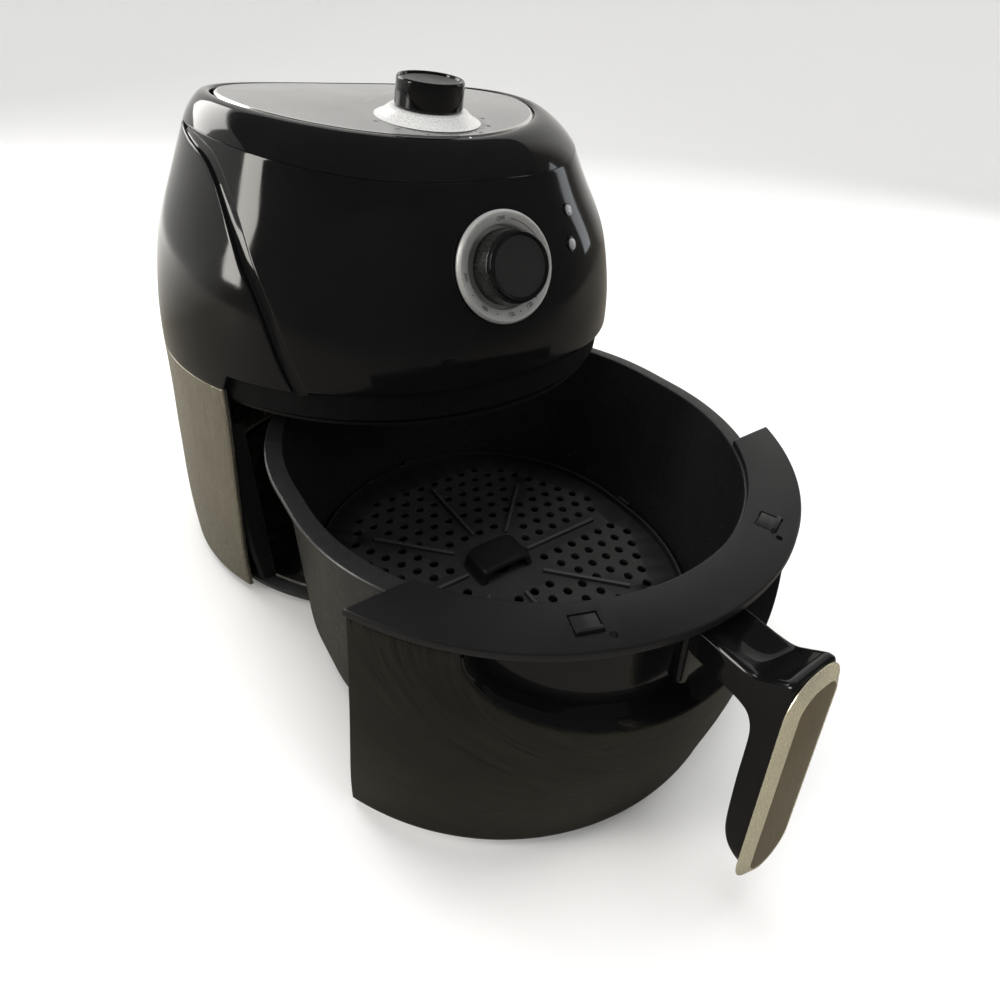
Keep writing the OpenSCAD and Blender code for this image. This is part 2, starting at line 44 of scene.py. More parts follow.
NODES = frame["nodes"]
YO, TR = 94.75, 150.0
DH, DD = YO, YO - TR          # y offset of the fixed body and of the drawer
H = 300.0
random.seed(7)

# ------------------------------------------------------------------ outline of the body
RT = np.array([[5,141.5],[12,142.3],[25,143.6],[40,144.8],[60,145.7],[80,146.1],[100,146.5],[118,146.6],[134,146.8],[150,147.4],[166,147.8],[180,147.5],[195,146.2],[210,144.2],[225,141.4],[240,136.5],[252,131.6],[263,127.4],[273,123.7],[284,119.7],[296,115.2]], float)
YT = np.array([[5,4.9],[12,4.2],[25,2.4],[40,0],[60,-2.7],[80,-4.4],[100,-5.5],[118,-5.9],[134,-6.3],[150,-6.9],[166,-7.5],[180,-7.6],[195,-7.1],[210,-6.3],[225,-5],[240,-2.6],[252,-0.4],[263,1.1],[273,2.1],[284,2.9],[296,3.3]], float)
HT = np.array([[5,0],[137,0],[168,6.5],[225,8.4],[252,8],[286,9.5],[296,9.9]], float)
SC = np.array([[-115.5,158],[-112.2,166],[-107.6,179],[-102.9,191.6],[-97.5,204],[-91,215.5],[-83.2,226.5],[-74.6,237],[-65,247],[-55.6,256],[-45.4,265],[-34.5,272],[-20,276.8],[-6,279.8],[12,282.6],[38,286.2],[60,289]], float)


def pchip(tab, smooth=True):
    x, y = tab[:, 0], tab[:, 1]
    h = np.diff(x); d = np.diff(y) / h
    m = np.zeros(len(x))
    for i in range(1, len(x) - 1):
        if d[i - 1] * d[i] > 0:
            w1, w2 = 2 * h[i] + h[i - 1], h[i] + 2 * h[i - 1]
            m[i] = (w1 + w2) / (w1 / d[i - 1] + w2 / d[i])
    m[0], m[-1] = d[0], d[-1]

    def f(q):
        q = np.clip(np.asarray(q, float), x[0], x[-1])
        k = np.clip(np.searchsorted(x, q, side="right") - 1, 0, len(x) - 2)
        t = (q - x[k]) / h[k]
        return ((1 + 2 * t) * (1 - t) ** 2 * y[k] + t * (1 - t) ** 2 * h[k] * m[k]
                + t * t * (3 - 2 * t) * y[k + 1] + t * t * (t - 1) * h[k] * m[k + 1])
    return f


def smoothed(tab, width=7.0):
    """the table as a curve with its corners softened"""
    f = pchip(tab)
    zs_ = np.linspace(tab[0, 0], tab[-1, 0], 400)
    v = f(zs_)
    k = np.exp(-0.5 * (np.arange(-30, 31) * (zs_[1] - zs_[0]) / width) ** 2); k /= k.sum()
    # extend the ends in a straight line before the blur
    pad = 30
    a = v[0] - (v[1] - v[0]) * np.arange(pad, 0, -1)
    b = v[-1] + (v[-1] - v[-2]) * np.arange(1, pad + 1)
    s = np.convolve(np.concatenate([a, v, b]), k, mode="valid")
    return lambda q: np.interp(q, zs_, s)


_R, _Y, _H = smoothed(RT, 5.0), smoothed(YT, 5.0), smoothed(HT, 6.0)
def R(z): return np.minimum(_R(z), 147.75)
def RA(t, z):
    """radius at angle t from the front, where the upper front is a little flattened"""
    w = (np.asarray(t) + 180.0) % 360.0 - 180.0
    return R(z) - _H(z) * np.exp(-(w / 24.0) ** 2)
def Y(z): return _Y(z)
def dR(z): return (R(np.asarray(z) + 0.5) - R(np.asarray(z) - 0.5))
def dY(z): return (Y(np.asarray(z) + 0.5) - Y(np.asarray(z) - 0.5))
def zs(y): return -(np.asarray(y) - 60.0) ** 2 / 1600.0


def surf(t, z, off=0.0):
    """point on the body: t is the angle from the front in degrees, to the right"""
    r = RA(t, z) - off; t = np.radians(t)
    return np.stack([r * np.sin(t), Y(z) - r * np.cos(t), z + 0 * t], -1)


def surfn(t, z):
    t = np.asarray(t, float); z = np.asarray(z, float)
    g = (RA(t + 0.5, z) - RA(t - 0.5, z)) / math.radians(1.0) / RA(t, z)
    dz = RA(t, z + 0.5) - RA(t, z - 0.5); t = np.radians(t)
    n = np.stack([np.sin(t) - g * np.cos(t), -np.cos(t) - g * np.sin(t), -(dz - dY(z) * np.cos(t))], -1)
    return n / np.linalg.norm(n, axis=-1, keepdims=True)


def crease(t, drop=13.9):
    z = np.full(np.shape(t), 272.0)
    for _ in range(40):
        y = Y(z) - RA(t, z) * np.cos(np.radians(t))
        z = 0.5 * z + 0.5 * (H - drop + zs(y))
    return z


def s_edge(d):
    """height of the S line, moved by d to the front, at angle t from the front"""
    f = pchip(SC[:, ::-1])
    z = np.linspace(160, 288.9, 500)
    y = f(z)
    ty_, tz_ = np.gradient(y), np.gradient(z)
    L = np.hypot(ty_, tz_)
    w = np.clip((286.0 - z) / 7.0, 0.04, 1.0) * d
    yy, zz = y - w * tz_ / L, z + w * ty_ / L
    s = np.clip((yy - Y(zz)) / R(zz), -1, 1)
    t = np.degrees(np.arcsin(s)) + 90.0
    o = np.argsort(t)
    return lambda q: np.interp(q, t[o], zz[o])


# ------------------------------------------------------------------ mesh helpers
def add(name, verts, faces, body, slot=None, reps=(), mat=None, dy=0.0, angle=32, recalc=True, tri=False):
    me = bpy.data.meshes.new(name)
    v = np.asarray(verts, float).copy()
    v[:, 1] += dy
    me.from_pydata((v * 0.001).tolist(), [], [list(map(int, f)) for f in faces])
    bm = bmesh.new(); bm.from_mesh(me)
    bmesh.ops.remove_doubles(bm, verts=bm.verts, dist=2e-6)
    bmesh.ops.dissolve_degenerate(bm, edges=bm.edges, dist=1e-6)
    if recalc:
        bmesh.ops.recalc_face_normals(bm, faces=bm.faces)
    bm.to_mesh(me); bm.free()
    me.shade_smooth()
    me.set_sharp_from_angle(angle=math.radians(angle))
    ob = bpy.data.objects.new(name, me)
    bpy.context.scene.collection.objects.link(ob)
    if mat is not None:
        me.materials.append(mat)
    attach(ob, body)
    if reps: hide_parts(*reps)
    return ob


def boolean(ob, cutters, angle=32):
    """takes the cutters out of ob and applies the result"""
    for c in cutters:
        m = ob.modifiers.new("cut", "BOOLEAN"); m.operation = "DIFFERENCE"; m.solver = "EXACT"; m.object = c
    bpy.context.view_layer.update()
    dg = bpy.context.evaluated_depsgraph_get()
    me = bpy.data.meshes.new_from_object(ob.evaluated_get(dg), depsgraph=dg)
    old = ob.data
    mats = [m for m in old.materials]
    ob.modifiers.clear()
    ob.data = me
    me.name = ob.name
    if not len(me.materials):
        for m in mats: me.materials.append(m)
    me.shade_smooth(); me.set_sharp_from_angle(angle=math.radians(angle))
    for c in cutters:
        bpy.data.objects.remove(c)
    return ob


def cutter(verts, faces, dy=0.0):
    me = bpy.data.meshes.new("cutter")
    v = np.asarray(verts, float).copy(); v[:, 1] += dy
    me.from_pydata((v * 0.001).tolist(), [], [list(map(int, f)) for f in faces])
    bm = bmesh.new(); bm.from_mesh(me); bmesh.ops.recalc_face_normals(bm, faces=bm.faces); bm.to_mesh(me); bm.free()
    ob = bpy.data.objects.new("cutter", me)
    bpy.context.scene.collection.objects.link(ob)
    return ob


def gfaces(m, n, base=0, close_u=False, close_v=False):
    out = []
    for i in range(m if close_u else m - 1):
        i2 = (i + 1) % m
        for j in range(n if close_v else n - 1):
            j2 = (j + 1) % n
            out.append((base + i * n + j, base + i2 * n + j, base + i2 * n + j2, base + i * n + j2))
    return out


def closed_shell(O, I, close_u=False):
    """solid between an outer grid and an inner grid of the same size"""
    m, n = O.shape[:2]
    v = np.concatenate([O.reshape(-1, 3), I.reshape(-1, 3)])
    b = m * n
    f = gfaces(m, n, 0, close_u) + gfaces(m, n, b, close_u)
    for i in range(m if close_u else m - 1):
        i2 = (i + 1) % m
        for j in (0, n - 1):
            f.append((i * n + j, i2 * n + j, b + i2 * n + j, b + i * n + j))
    if not close_u:
        for i in (0, m - 1):
            for j in range(n - 1):
                f.append((i * n + j, i * n + j + 1, b + i * n + j + 1, b + i * n + j))
    return v, f


def rows(lo, hi, n, rl, rh):
    """fractions and edge distances for one column: dense where the edge rounds over"""
    L = hi - lo
    k = np.array([0, 0.05, 0.16, 0.34, 0.6, 1.0])
    a = k * min(rl, L * 0.3); b = k * min(rh, L * 0.3)
    mid = np.linspace(a[-1], L - b[-1], n)[1:-1]
    s = np.concatenate([a, mid, L - b[::-1]])
    return lo + s, s, L - s


def drop(s, r):
    q = np.clip(r - s, 0, r)
    return r - np.sqrt(np.clip(r * r - q * q, 0, None))


def body_patch(t, zlo, zhi, n, rl, rh, ru=0.0, off=0.0, thick=2.6, slope_lo=None, slope_hi=None, rin=None):
    """shell piece over angles t between heights zlo and zhi with rounded edges"""
    m = len(t); O = []; I = []
    arc = np.radians(t) * 150.0
    gl = np.abs(np.gradient(zlo, arc)); gh = np.abs(np.gradient(zhi, arc))
    for i in range(m):
        cl, ch = 1 / math.hypot(1, min(gl[i], 3.5)), 1 / math.hypot(1, min(gh[i], 3.5))
        z, sl, sh = rows(zlo[i], zhi[i], n, rl / cl, rh / ch)
        L = zhi[i] - zlo[i]
        r1, r2 = min(rl, L * 0.3 * cl), min(rh, L * 0.3 * ch)
        q1 = np.clip(r1 - sl * cl, 0, r1) / max(r1, 1e-6); q2 = np.clip(r2 - sh * ch, 0, r2) / max(r2, 1e-6)
        d = r1 * (1 - np.sqrt(np.clip(1 - q1 ** 2, 0, 1))) + r2 * (1 - np.sqrt(np.clip(1 - q2 ** 2, 0, 1)))
        if ru > 0:
            su = min(abs(arc[i] - arc[0]), abs(arc[-1] - arc[i]))
            d = np.maximum(d, drop(su, ru))
        tt = np.full(len(z), t[i])
        P = surf(tt, z, off) - surfn(tt, z) * d[:, None]
        O.append(P); I.append(surf(tt, z, off + thick))
    return closed_shell(np.array(O), np.array(I))


def with_edges(t, r):
    """angle list with dense columns at both ends, for rounding over"""
    k = np.degrees(np.array([0, 0.05, 0.16, 0.34, 0.6, 1.0]) * r / 150.0)
    inner = t[(t > t[0] + k[-1] * 1.2) & (t < t[-1] - k[-1] * 1.2)]
    return np.concatenate([t[0] + k, inner, (t[-1] - k)[::-1]])


def rnd(pts, closed=False, seg=5):
    """polyline of (x, y, r) with rounded corners"""
    n = len(pts); out = []
    for i, p in enumerate(pts):
        r = p[2] if len(p) > 2 else 0
        P = np.array(p[:2], float)
        if (not closed and i in (0, n - 1)) or r <= 0:
            out.append(P); continue
        A = np.array(pts[i - 1][:2], float) - P; B = np.array(pts[(i + 1) % n][:2], float) - P
        la, lb = np.linalg.norm(A), np.linalg.norm(B); A /= la; B /= lb
        c = np.clip(A @ B, -1, 1); th = math.acos(c)
        if th > math.pi - 0.02:
            out.append(P); continue
        k = min(r / math.tan(th / 2), 0.49 * la, 0.49 * lb); rr_ = k * math.tan(th / 2)
        C = P + (A + B) / np.linalg.norm(A + B) * rr_ / math.sin(th / 2)
        s, e = P + A * k - C, P + B * k - C
        a0, a1 = math.atan2(s[1], s[0]), math.atan2(e[1], e[0])
        da = (a1 - a0 + math.pi) % (2 * math.pi) - math.pi
        for q in range(seg + 1):
            a = a0 + da * q / seg
            out.append(C + rr_ * np.array([math.cos(a), math.sin(a)]))
    return np.array(out)


def lathe(prof, segs=128, M=None):
    """solid of revolution about z from a profile that starts and ends on the axis, or a closed ring profile"""
    prof = np.asarray(prof, float); v = []; idx = []
    for r, z in prof:
        if r < 1e-6:
            idx.append([len(v)] * segs); v.append((0, 0, z))
        else:
            idx.append(list(range(len(v), len(v) + segs)))
            v += [(r * math.cos(2 * math.pi * k / segs), r * math.sin(2 * math.pi * k / segs), z) for k in range(segs)]
    f = []; npf = len(prof)
    ring = prof[0][0] > 1e-6 and prof[-1][0] > 1e-6
    for a in range(npf if ring else npf - 1):
        A, B = idx[a], idx[(a + 1) % npf]
        for k in range(segs):
            k2 = (k + 1) % segs
            q = [A[k], A[k2], B[k2], B[k]]
            q = [x for i_, x in enumerate(q) if x not in q[:i_]]
            if len(q) >= 3: f.append(q)
    v = np.array(v)
    if M is not None:
        v = (np.array(M)[:3, :3] @ v.T).T + np.array(M)[:3, 3]
    return v, f


def rings(secs, close=False, caps=True):
    """lofts closed sections into a solid"""
    secs = np.asarray(secs, float); m, n = secs.shape[:2]
    f = gfaces(m, n, 0, close, True)
    if caps and not close:
        f.append(tuple(range(n))); f.append(tuple((m - 1) * n + k for k in range(n)))
    return secs.reshape(-1, 3), f


def merge(*parts):
    V = []; F = []; b = 0
    for v, f in parts:
        v = np.asarray(v, float); V.append(v); F += [tuple(int(i) + b for i in q) for q in f]; b += len(v)
    return np.concatenate(V), F


def plate2d(outline, holes, to3d, t0, t1):
    """flat plate from a 2D outline with holes, through Blender's own curve fill"""
    cu = bpy.data.curves.new("plate", "CURVE"); cu.dimensions = "2D"; cu.fill_mode = "BOTH"
    for loop in [outline] + list(holes):
        sp = cu.splines.new("POLY"); sp.points.add(len(loop) - 1); sp.use_cyclic_u = True
        for i, p in enumerate(loop): sp.points[i].co = (p[0], p[1], 0, 1)
    cu.extrude = abs(t1 - t0) / 2
    ob = bpy.data.objects.new("plate", cu); bpy.context.scene.collection.objects.link(ob)
    bpy.context.view_layer.update()
    dg = bpy.context.evaluated_depsgraph_get()
    me = bpy.data.meshes.new_from_object(ob.evaluated_get(dg), depsgraph=dg)
    v = np.array([p.co[:] for p in me.vertices]).reshape(-1, 3); v[:, 2] += (t0 + t1) / 2
    f = [tuple(p.vertices) for p in me.polygons]
    bpy.data.objects.remove(ob); bpy.data.meshes.remove(me)
    return to3d(v), f


def text2d(s, size, bold=0.0):
    cu = bpy.data.curves.new("t", "FONT"); cu.body = s; cu.size = size; cu.align_x = "CENTER"; cu.align_y = "CENTER"
    cu.resolution_u = 3; cu.offset = bold; cu.extrude = 0.02
    ob = bpy.data.objects.new("t", cu); bpy.context.scene.collection.objects.link(ob)
    bpy.context.view_layer.update()
    dg = bpy.context.evaluated_depsgraph_get()
    me = bpy.data.meshes.new_from_object(ob.evaluated_get(dg), depsgraph=dg)
    v = np.array([p.co[:] for p in me.vertices]).reshape(-1, 3)
    f = [tuple(p.vertices) for p in me.polygons]
    bpy.data.objects.remove(ob); bpy.data.meshes.remove(me)
    return v, f


def box(x0, x1, y0, y1, z0, z1):
    v = [(x, y, z) for x in (x0, x1) for y in (y0, y1) for z in (z0, z1)]
    return np.array(v, float), [(0, 1, 3, 2), (4, 6, 7, 5), (0, 4, 5, 1), (2, 3, 7, 6), (0, 2, 6, 4), (1, 5, 7, 3)]


# ------------------------------------------------------------------ materials
class Mat:
    def __init__(self, name, **kw):
        self.m = bpy.data.materials.new(name); self.m.use_nodes = True
        self.t = self.m.node_tree; self.t.nodes.clear()
        self.out = self.t.nodes.new("ShaderNodeOutputMaterial")
        self.p = self.t.nodes.new("ShaderNodeBsdfPrincipled")
        self.t.links.new(self.p.outputs[0], self.out.inputs[0])
        self.co = self.t.nodes.new("ShaderNodeTexCoord").outputs["Object"]
        for k, v in kw.items(): self.set(k, v)

    def set(self, k, v):
        self.p.inputs[k.replace("_", " ")].default_value = v

    def link(self, a, b): self.t.links.new(a, b)

    def stretch(self, sx, sy, sz, rot=(0, 0, 0)):
        n = self.t.nodes.new("ShaderNodeMapping"); n.inputs["Scale"].default_value = (sx, sy, sz)
        n.inputs["Rotation"].default_value = rot
        self.link(self.co, n.inputs["Vector"]); return n.outputs[0]

    def noise(self, scale, detail=3.0, rough=0.5, co=None, dist=0.0):
        n = self.t.nodes.new("ShaderNodeTexNoise"); n.inputs["Scale"].default_value = scale
        n.inputs["Detail"].default_value = detail; n.inputs["Roughness"].default_value = rough
        n.inputs["Distortion"].default_value = dist
        self.link(co if co is not None else self.co, n.inputs["Vector"]); return n.outputs["Fac"]

    def voro(self, scale, co=None, out="Distance", feature=None):
        n = self.t.nodes.new("ShaderNodeTexVoronoi"); n.inputs["Scale"].default_value = scale
        if feature: n.feature = feature
        self.link(co if co is not None else self.co, n.inputs["Vector"]); return n.outputs[out]

    def polar(self, cz, kz, along):
        """distance and angle about a point on the front at height cz, for lines that run around it"""
        s = self.t.nodes.new("ShaderNodeSeparateXYZ"); self.link(self.co, s.inputs[0])
        u, w = s.outputs[0], self.math("MULTIPLY", self.math("SUBTRACT", s.outputs[2], cz), kz)
        r = self.math("SQRT", self.math("ADD", self.math("MULTIPLY", u, u), self.math("MULTIPLY", w, w)), 0.0)
        c = self.t.nodes.new("ShaderNodeCombineXYZ"); self.link(r, c.inputs[0])
        self.link(self.math("MULTIPLY", self.math("ARCTAN2", w, u), along), c.inputs[1]); return c.outputs[0]

    def ramp(self, fac, stops):
        n = self.t.nodes.new("ShaderNodeValToRGB"); e = n.color_ramp.elements
        while len(e) > 1: e.remove(e[-1])
        e[0].position = stops[0][0]; e[0].color = (*stops[0][1], 1)
        for p, c in stops[1:]:
            k = e.new(p); k.color = (*c, 1)
        self.link(fac, n.inputs[0]); return n.outputs[0]

    def rng(self, fac, a, b, lo=0.3, hi=0.7):
        n = self.t.nodes.new("ShaderNodeMapRange"); n.inputs[1].default_value = lo; n.inputs[2].default_value = hi
        n.inputs[3].default_value = a; n.inputs[4].default_value = b
        self.link(fac, n.inputs[0]); return n.outputs[0]

    def math(self, op, a, b):
        n = self.t.nodes.new("ShaderNodeMath"); n.operation = op
        for i, q in enumerate((a, b)):
            if isinstance(q, (int, float)): n.inputs[i].default_value = q
            else: self.link(q, n.inputs[i])
        return n.outputs[0]

    def mix(self, fac, a, b):
        n = self.t.nodes.new("ShaderNodeMix"); n.data_type = "RGBA"
        for i, q in ((0, fac), (6, a), (7, b)):
            if isinstance(q, (int, float)): n.inputs[i].default_value = q
            elif isinstance(q, tuple): n.inputs[i].default_value = (*q, 1)
            else: self.link(q, n.inputs[i])
        return n.outputs[2]

    def edge(self, lo=0.52, hi=0.6):
        g = self.t.nodes.new("ShaderNodeNewGeometry")
        return self.rng(g.outputs["Pointiness"], 0.0, 1.0, lo, hi)

    def bump(self, h, strength, dist=0.0002):
        n = self.t.nodes.new("ShaderNodeBump"); n.inputs["Strength"].default_value = strength
        n.inputs["Distance"].default_value = dist
        self.link(h, n.inputs["Height"]); self.link(n.outputs[0], self.p.inputs["Normal"]); return n

    def color(self, c): self.link(c, self.p.inputs["Base Color"])
    def rough(self, c): self.link(c, self.p.inputs["Roughness"])


def gloss_black(name, lo=0.045, hi=0.11, c=(0.0028, 0.0028, 0.0031), dust=True):
    a = Mat(name, Metallic=0.0, IOR=1.49)
    a.set("Specular IOR Level", 0.3)
    base = a.ramp(a.noise(14, 3), [(0.3, c), (0.75, tuple(x * 1.7 for x in c))])
    if dust:
        specks = a.rng(a.voro(900), 1.0, 0.0, 0.03, 0.075)
        patch = a.rng(a.noise(35, 2), 0.0, 0.35, 0.5, 0.72)
        base = a.mix(a.math("MULTIPLY", specks, patch), base, (0.05, 0.049, 0.046))
    a.color(base)
    smear = a.noise(22, 4, 0.6, dist=0.6)
    swirl = a.noise(260, 2, 0.5, co=a.stretch(1, 1, 0.25, (0.3, 0.2, 0)))
    a.rough(a.math("ADD", a.rng(smear, lo, hi, 0.35, 0.7), a.rng(swirl, 0.0, 0.02, 0.5, 0.75)))
    a.bump(a.noise(55, 2, 0.5), 0.02, 0.0003)
    return a.m


def brushed_dark(name, c0=(0.035, 0.035, 0.029), c1=(0.062, 0.061, 0.05), lo=0.27, hi=0.4, spec=0.5, metal=0.55, coat=0.35, round_=False):
    a = Mat(name, Metallic=metal)
    a.set("Specular IOR Level", spec)
    a.set("Coat Weight", coat); a.set("Coat Roughness", 0.12)
    v = a.polar(0.136, 1.35, 0.0014) if round_ else a.stretch(1, 1, 0.012)
    fine = a.noise(2200 if round_ else 2600, 2, 0.6, co=v)
    broad = a.noise(600, 2, 0.5, co=a.polar(0.136, 1.35, 0.003) if round_ else a.stretch(1, 1, 0.03))
    line = a.math("ADD", a.math("MULTIPLY", fine, 0.7), a.math("MULTIPLY", broad, 0.3))
    cloud = a.noise(9, 3)
    base = a.ramp(line, [(0.34, c0), (0.66, c1)])
    base = a.mix(a.rng(cloud, 0.0, 0.35, 0.35, 0.7), base, tuple(x * 0.75 for x in c0))
    base = a.mix(a.math("MULTIPLY", a.edge(0.53, 0.62), 0.35), base, (0.14, 0.135, 0.12))
    a.color(base)
    a.rough(a.math("ADD", a.rng(line, lo, hi, 0.35, 0.65), a.rng(cloud, -0.02, 0.05, 0.35, 0.7)))
    a.bump(line, 0.22, 0.00006)
    return a.m


def satin_metal(name, c0, c1, lo=0.24, hi=0.36, sx=1, sy=0.015, sz=1, sc=1800, bump=0.12, aniso=0.0, wear=0.25, metal=1.0):
    a = Mat(name, Metallic=metal)
    a.set("Anisotropic", aniso)
    line = a.noise(sc, 3, 0.6, co=a.stretch(sx, sy, sz))
    cloud = a.noise(18, 3, 0.55)
    base = a.ramp(line, [(0.3, c0), (0.7, c1)])
    base = a.mix(a.rng(cloud, 0.0, 0.25, 0.45, 0.75), base, tuple(x * 0.82 for x in c0))
    base = a.mix(a.math("MULTIPLY", a.edge(0.53, 0.62), wear), base, (0.93, 0.92, 0.9))
    a.color(base)
    a.rough(a.math("ADD", a.rng(line, lo, hi, 0.3, 0.7), a.rng(cloud, 0.0, 0.06, 0.4, 0.75)))
    a.bump(line, bump, 0.00005)
    return a.m


def matte(name, c, lo=0.42, hi=0.58, grain=1500, bump=0.25, spec=0.45, wear=0.3, wc=None, metal=0.0):
    a = Mat(name, Metallic=metal)
    a.set("Specular IOR Level", spec)
    g = a.noise(grain, 3, 0.6); cloud = a.noise(16, 4, 0.55)
    base = a.ramp(g, [(0.3, tuple(x * 0.82 for x in c)), (0.7, tuple(min(1, x * 1.22) for x in c))])
    base = a.mix(a.rng(cloud, 0.0, 0.4, 0.4, 0.75), base, tuple(min(1, x * 1.25 + 0.004) for x in c))
    base = a.mix(a.math("MULTIPLY", a.edge(0.53, 0.63), wear), base, wc or tuple(min(1, x * 2.2 + 0.02) for x in c))
    a.color(base)
    a.rough(a.math("ADD", a.rng(g, lo, hi, 0.3, 0.7), a.rng(cloud, -0.03, 0.04, 0.35, 0.7)))
    a.bump(g, bump, 0.00008)
    return a.m


def coated(name, c=(0.012, 0.012, 0.0125), lo=0.26, hi=0.36, metal=0.25, peel=240):
    a = Mat(name, Metallic=metal)
    a.set("Specular IOR Level", 0.5)
    f = a.noise(peel, 3, 0.5); micro = a.noise(3200, 2, 0.5)
    sp = a.rng(a.voro(1400), 1.0, 0.0, 0.02, 0.09)
    base = a.ramp(a.noise(12, 4), [(0.3, c), (0.75, tuple(x * 1.6 for x in c))])
    base = a.mix(a.math("MULTIPLY", sp, 0.35), base, (0.09, 0.09, 0.092))
    base = a.mix(a.math("MULTIPLY", a.edge(0.53, 0.63), 0.22), base, (0.16, 0.155, 0.15))
    a.color(base)
    a.rough(a.math("ADD", a.rng(f, lo, hi, 0.3, 0.7), a.rng(micro, -0.03, 0.05, 0.3, 0.7)))
    a.bump(a.math("ADD", f, a.math("MULTIPLY", micro, 0.5)), 0.12, 0.00008)
    return a.m


def galvanised(name, c0=(0.42, 0.42, 0.41), c1=(0.62, 0.62, 0.61)):
    a = Mat(name, Metallic=1.0)
    sp = a.voro(160, out="Color"); cloud = a.noise(30, 3)
    base = a.ramp(a.math("MULTIPLY", sp, 1.0), [(0.2, c0), (0.8, c1)])
    base = a.mix(a.rng(cloud, 0.0, 0.3, 0.5, 0.8), base, (0.3, 0.27, 0.23))
    a.color(base); a.rough(a.rng(a.math("MULTIPLY", sp, 1.0), 0.28, 0.48, 0.1, 0.9))
    a.bump(a.noise(900, 3), 0.12, 0.00006)
    return a.m


def laminated(name):
    a = Mat(name, Metallic=0.7)
    lay = a.noise(1500, 1, 0.4, co=a.stretch(0.02, 0.02, 1)); rust = a.noise(60, 4, 0.6)
    base = a.ramp(lay, [(0.35, (0.1, 0.09, 0.08)), (0.65, (0.26, 0.24, 0.21))])
    base = a.mix(a.rng(rust, 0.0, 0.5, 0.5, 0.8), base, (0.2, 0.12, 0.07))
    a.color(base); a.rough(a.rng(lay, 0.4, 0.62)); a.bump(lay, 0.4, 0.0001)
    return a.m


def felt(name):
    a = Mat(name); a.set("Sheen Weight", 0.35)
    f = a.noise(700, 4, 0.7); g = a.noise(90, 3)
    a.color(a.mix(a.rng(g, 0.0, 0.5), a.ramp(f, [(0.3, (0.58, 0.56, 0.5)), (0.7, (0.8, 0.78, 0.72))]), (0.62, 0.58, 0.5)))
    a.rough(a.rng(f, 0.85, 1.0)); a.bump(f, 0.8, 0.0006)
    return a.m


def tinted_steel(name):
    a = Mat(name, Metallic=1.0)
    g = a.noise(40, 4, 0.6); f = a.noise(1200, 3)
    base = a.ramp(g, [(0.3, (0.2, 0.17, 0.15)), (0.5, (0.3, 0.25, 0.2)), (0.62, (0.27, 0.22, 0.26)), (0.78, (0.2, 0.21, 0.26))])
    a.color(base); a.rough(a.rng(f, 0.32, 0.5)); a.bump(f, 0.15, 0.00006)
    return a.m


def lens_mat(name):
    a = Mat(name, IOR=1.5)
    a.set("Transmission Weight", 0.55); a.set("Coat Weight", 0.5); a.set("Coat Roughness", 0.06)
    f = a.noise(380, 3); g = a.noise(60, 2)
    a.color(a.ramp(g, [(0.3, (0.33, 0.34, 0.35)), (0.75, (0.46, 0.47, 0.48))]))
    a.rough(a.rng(f, 0.16, 0.3)); a.bump(f, 0.12, 0.0001)
    return a.m


def ink(name, c):
    a = Mat(name); f = a.noise(2400, 3)
    a.color(a.ramp(f, [(0.3, c), (0.72, tuple(min(1, x * 1.25 + 0.012) for x in c))]))
    a.rough(a.rng(f, 0.4, 0.55)); a.bump(f, 0.15, 0.00003)
    return a.m


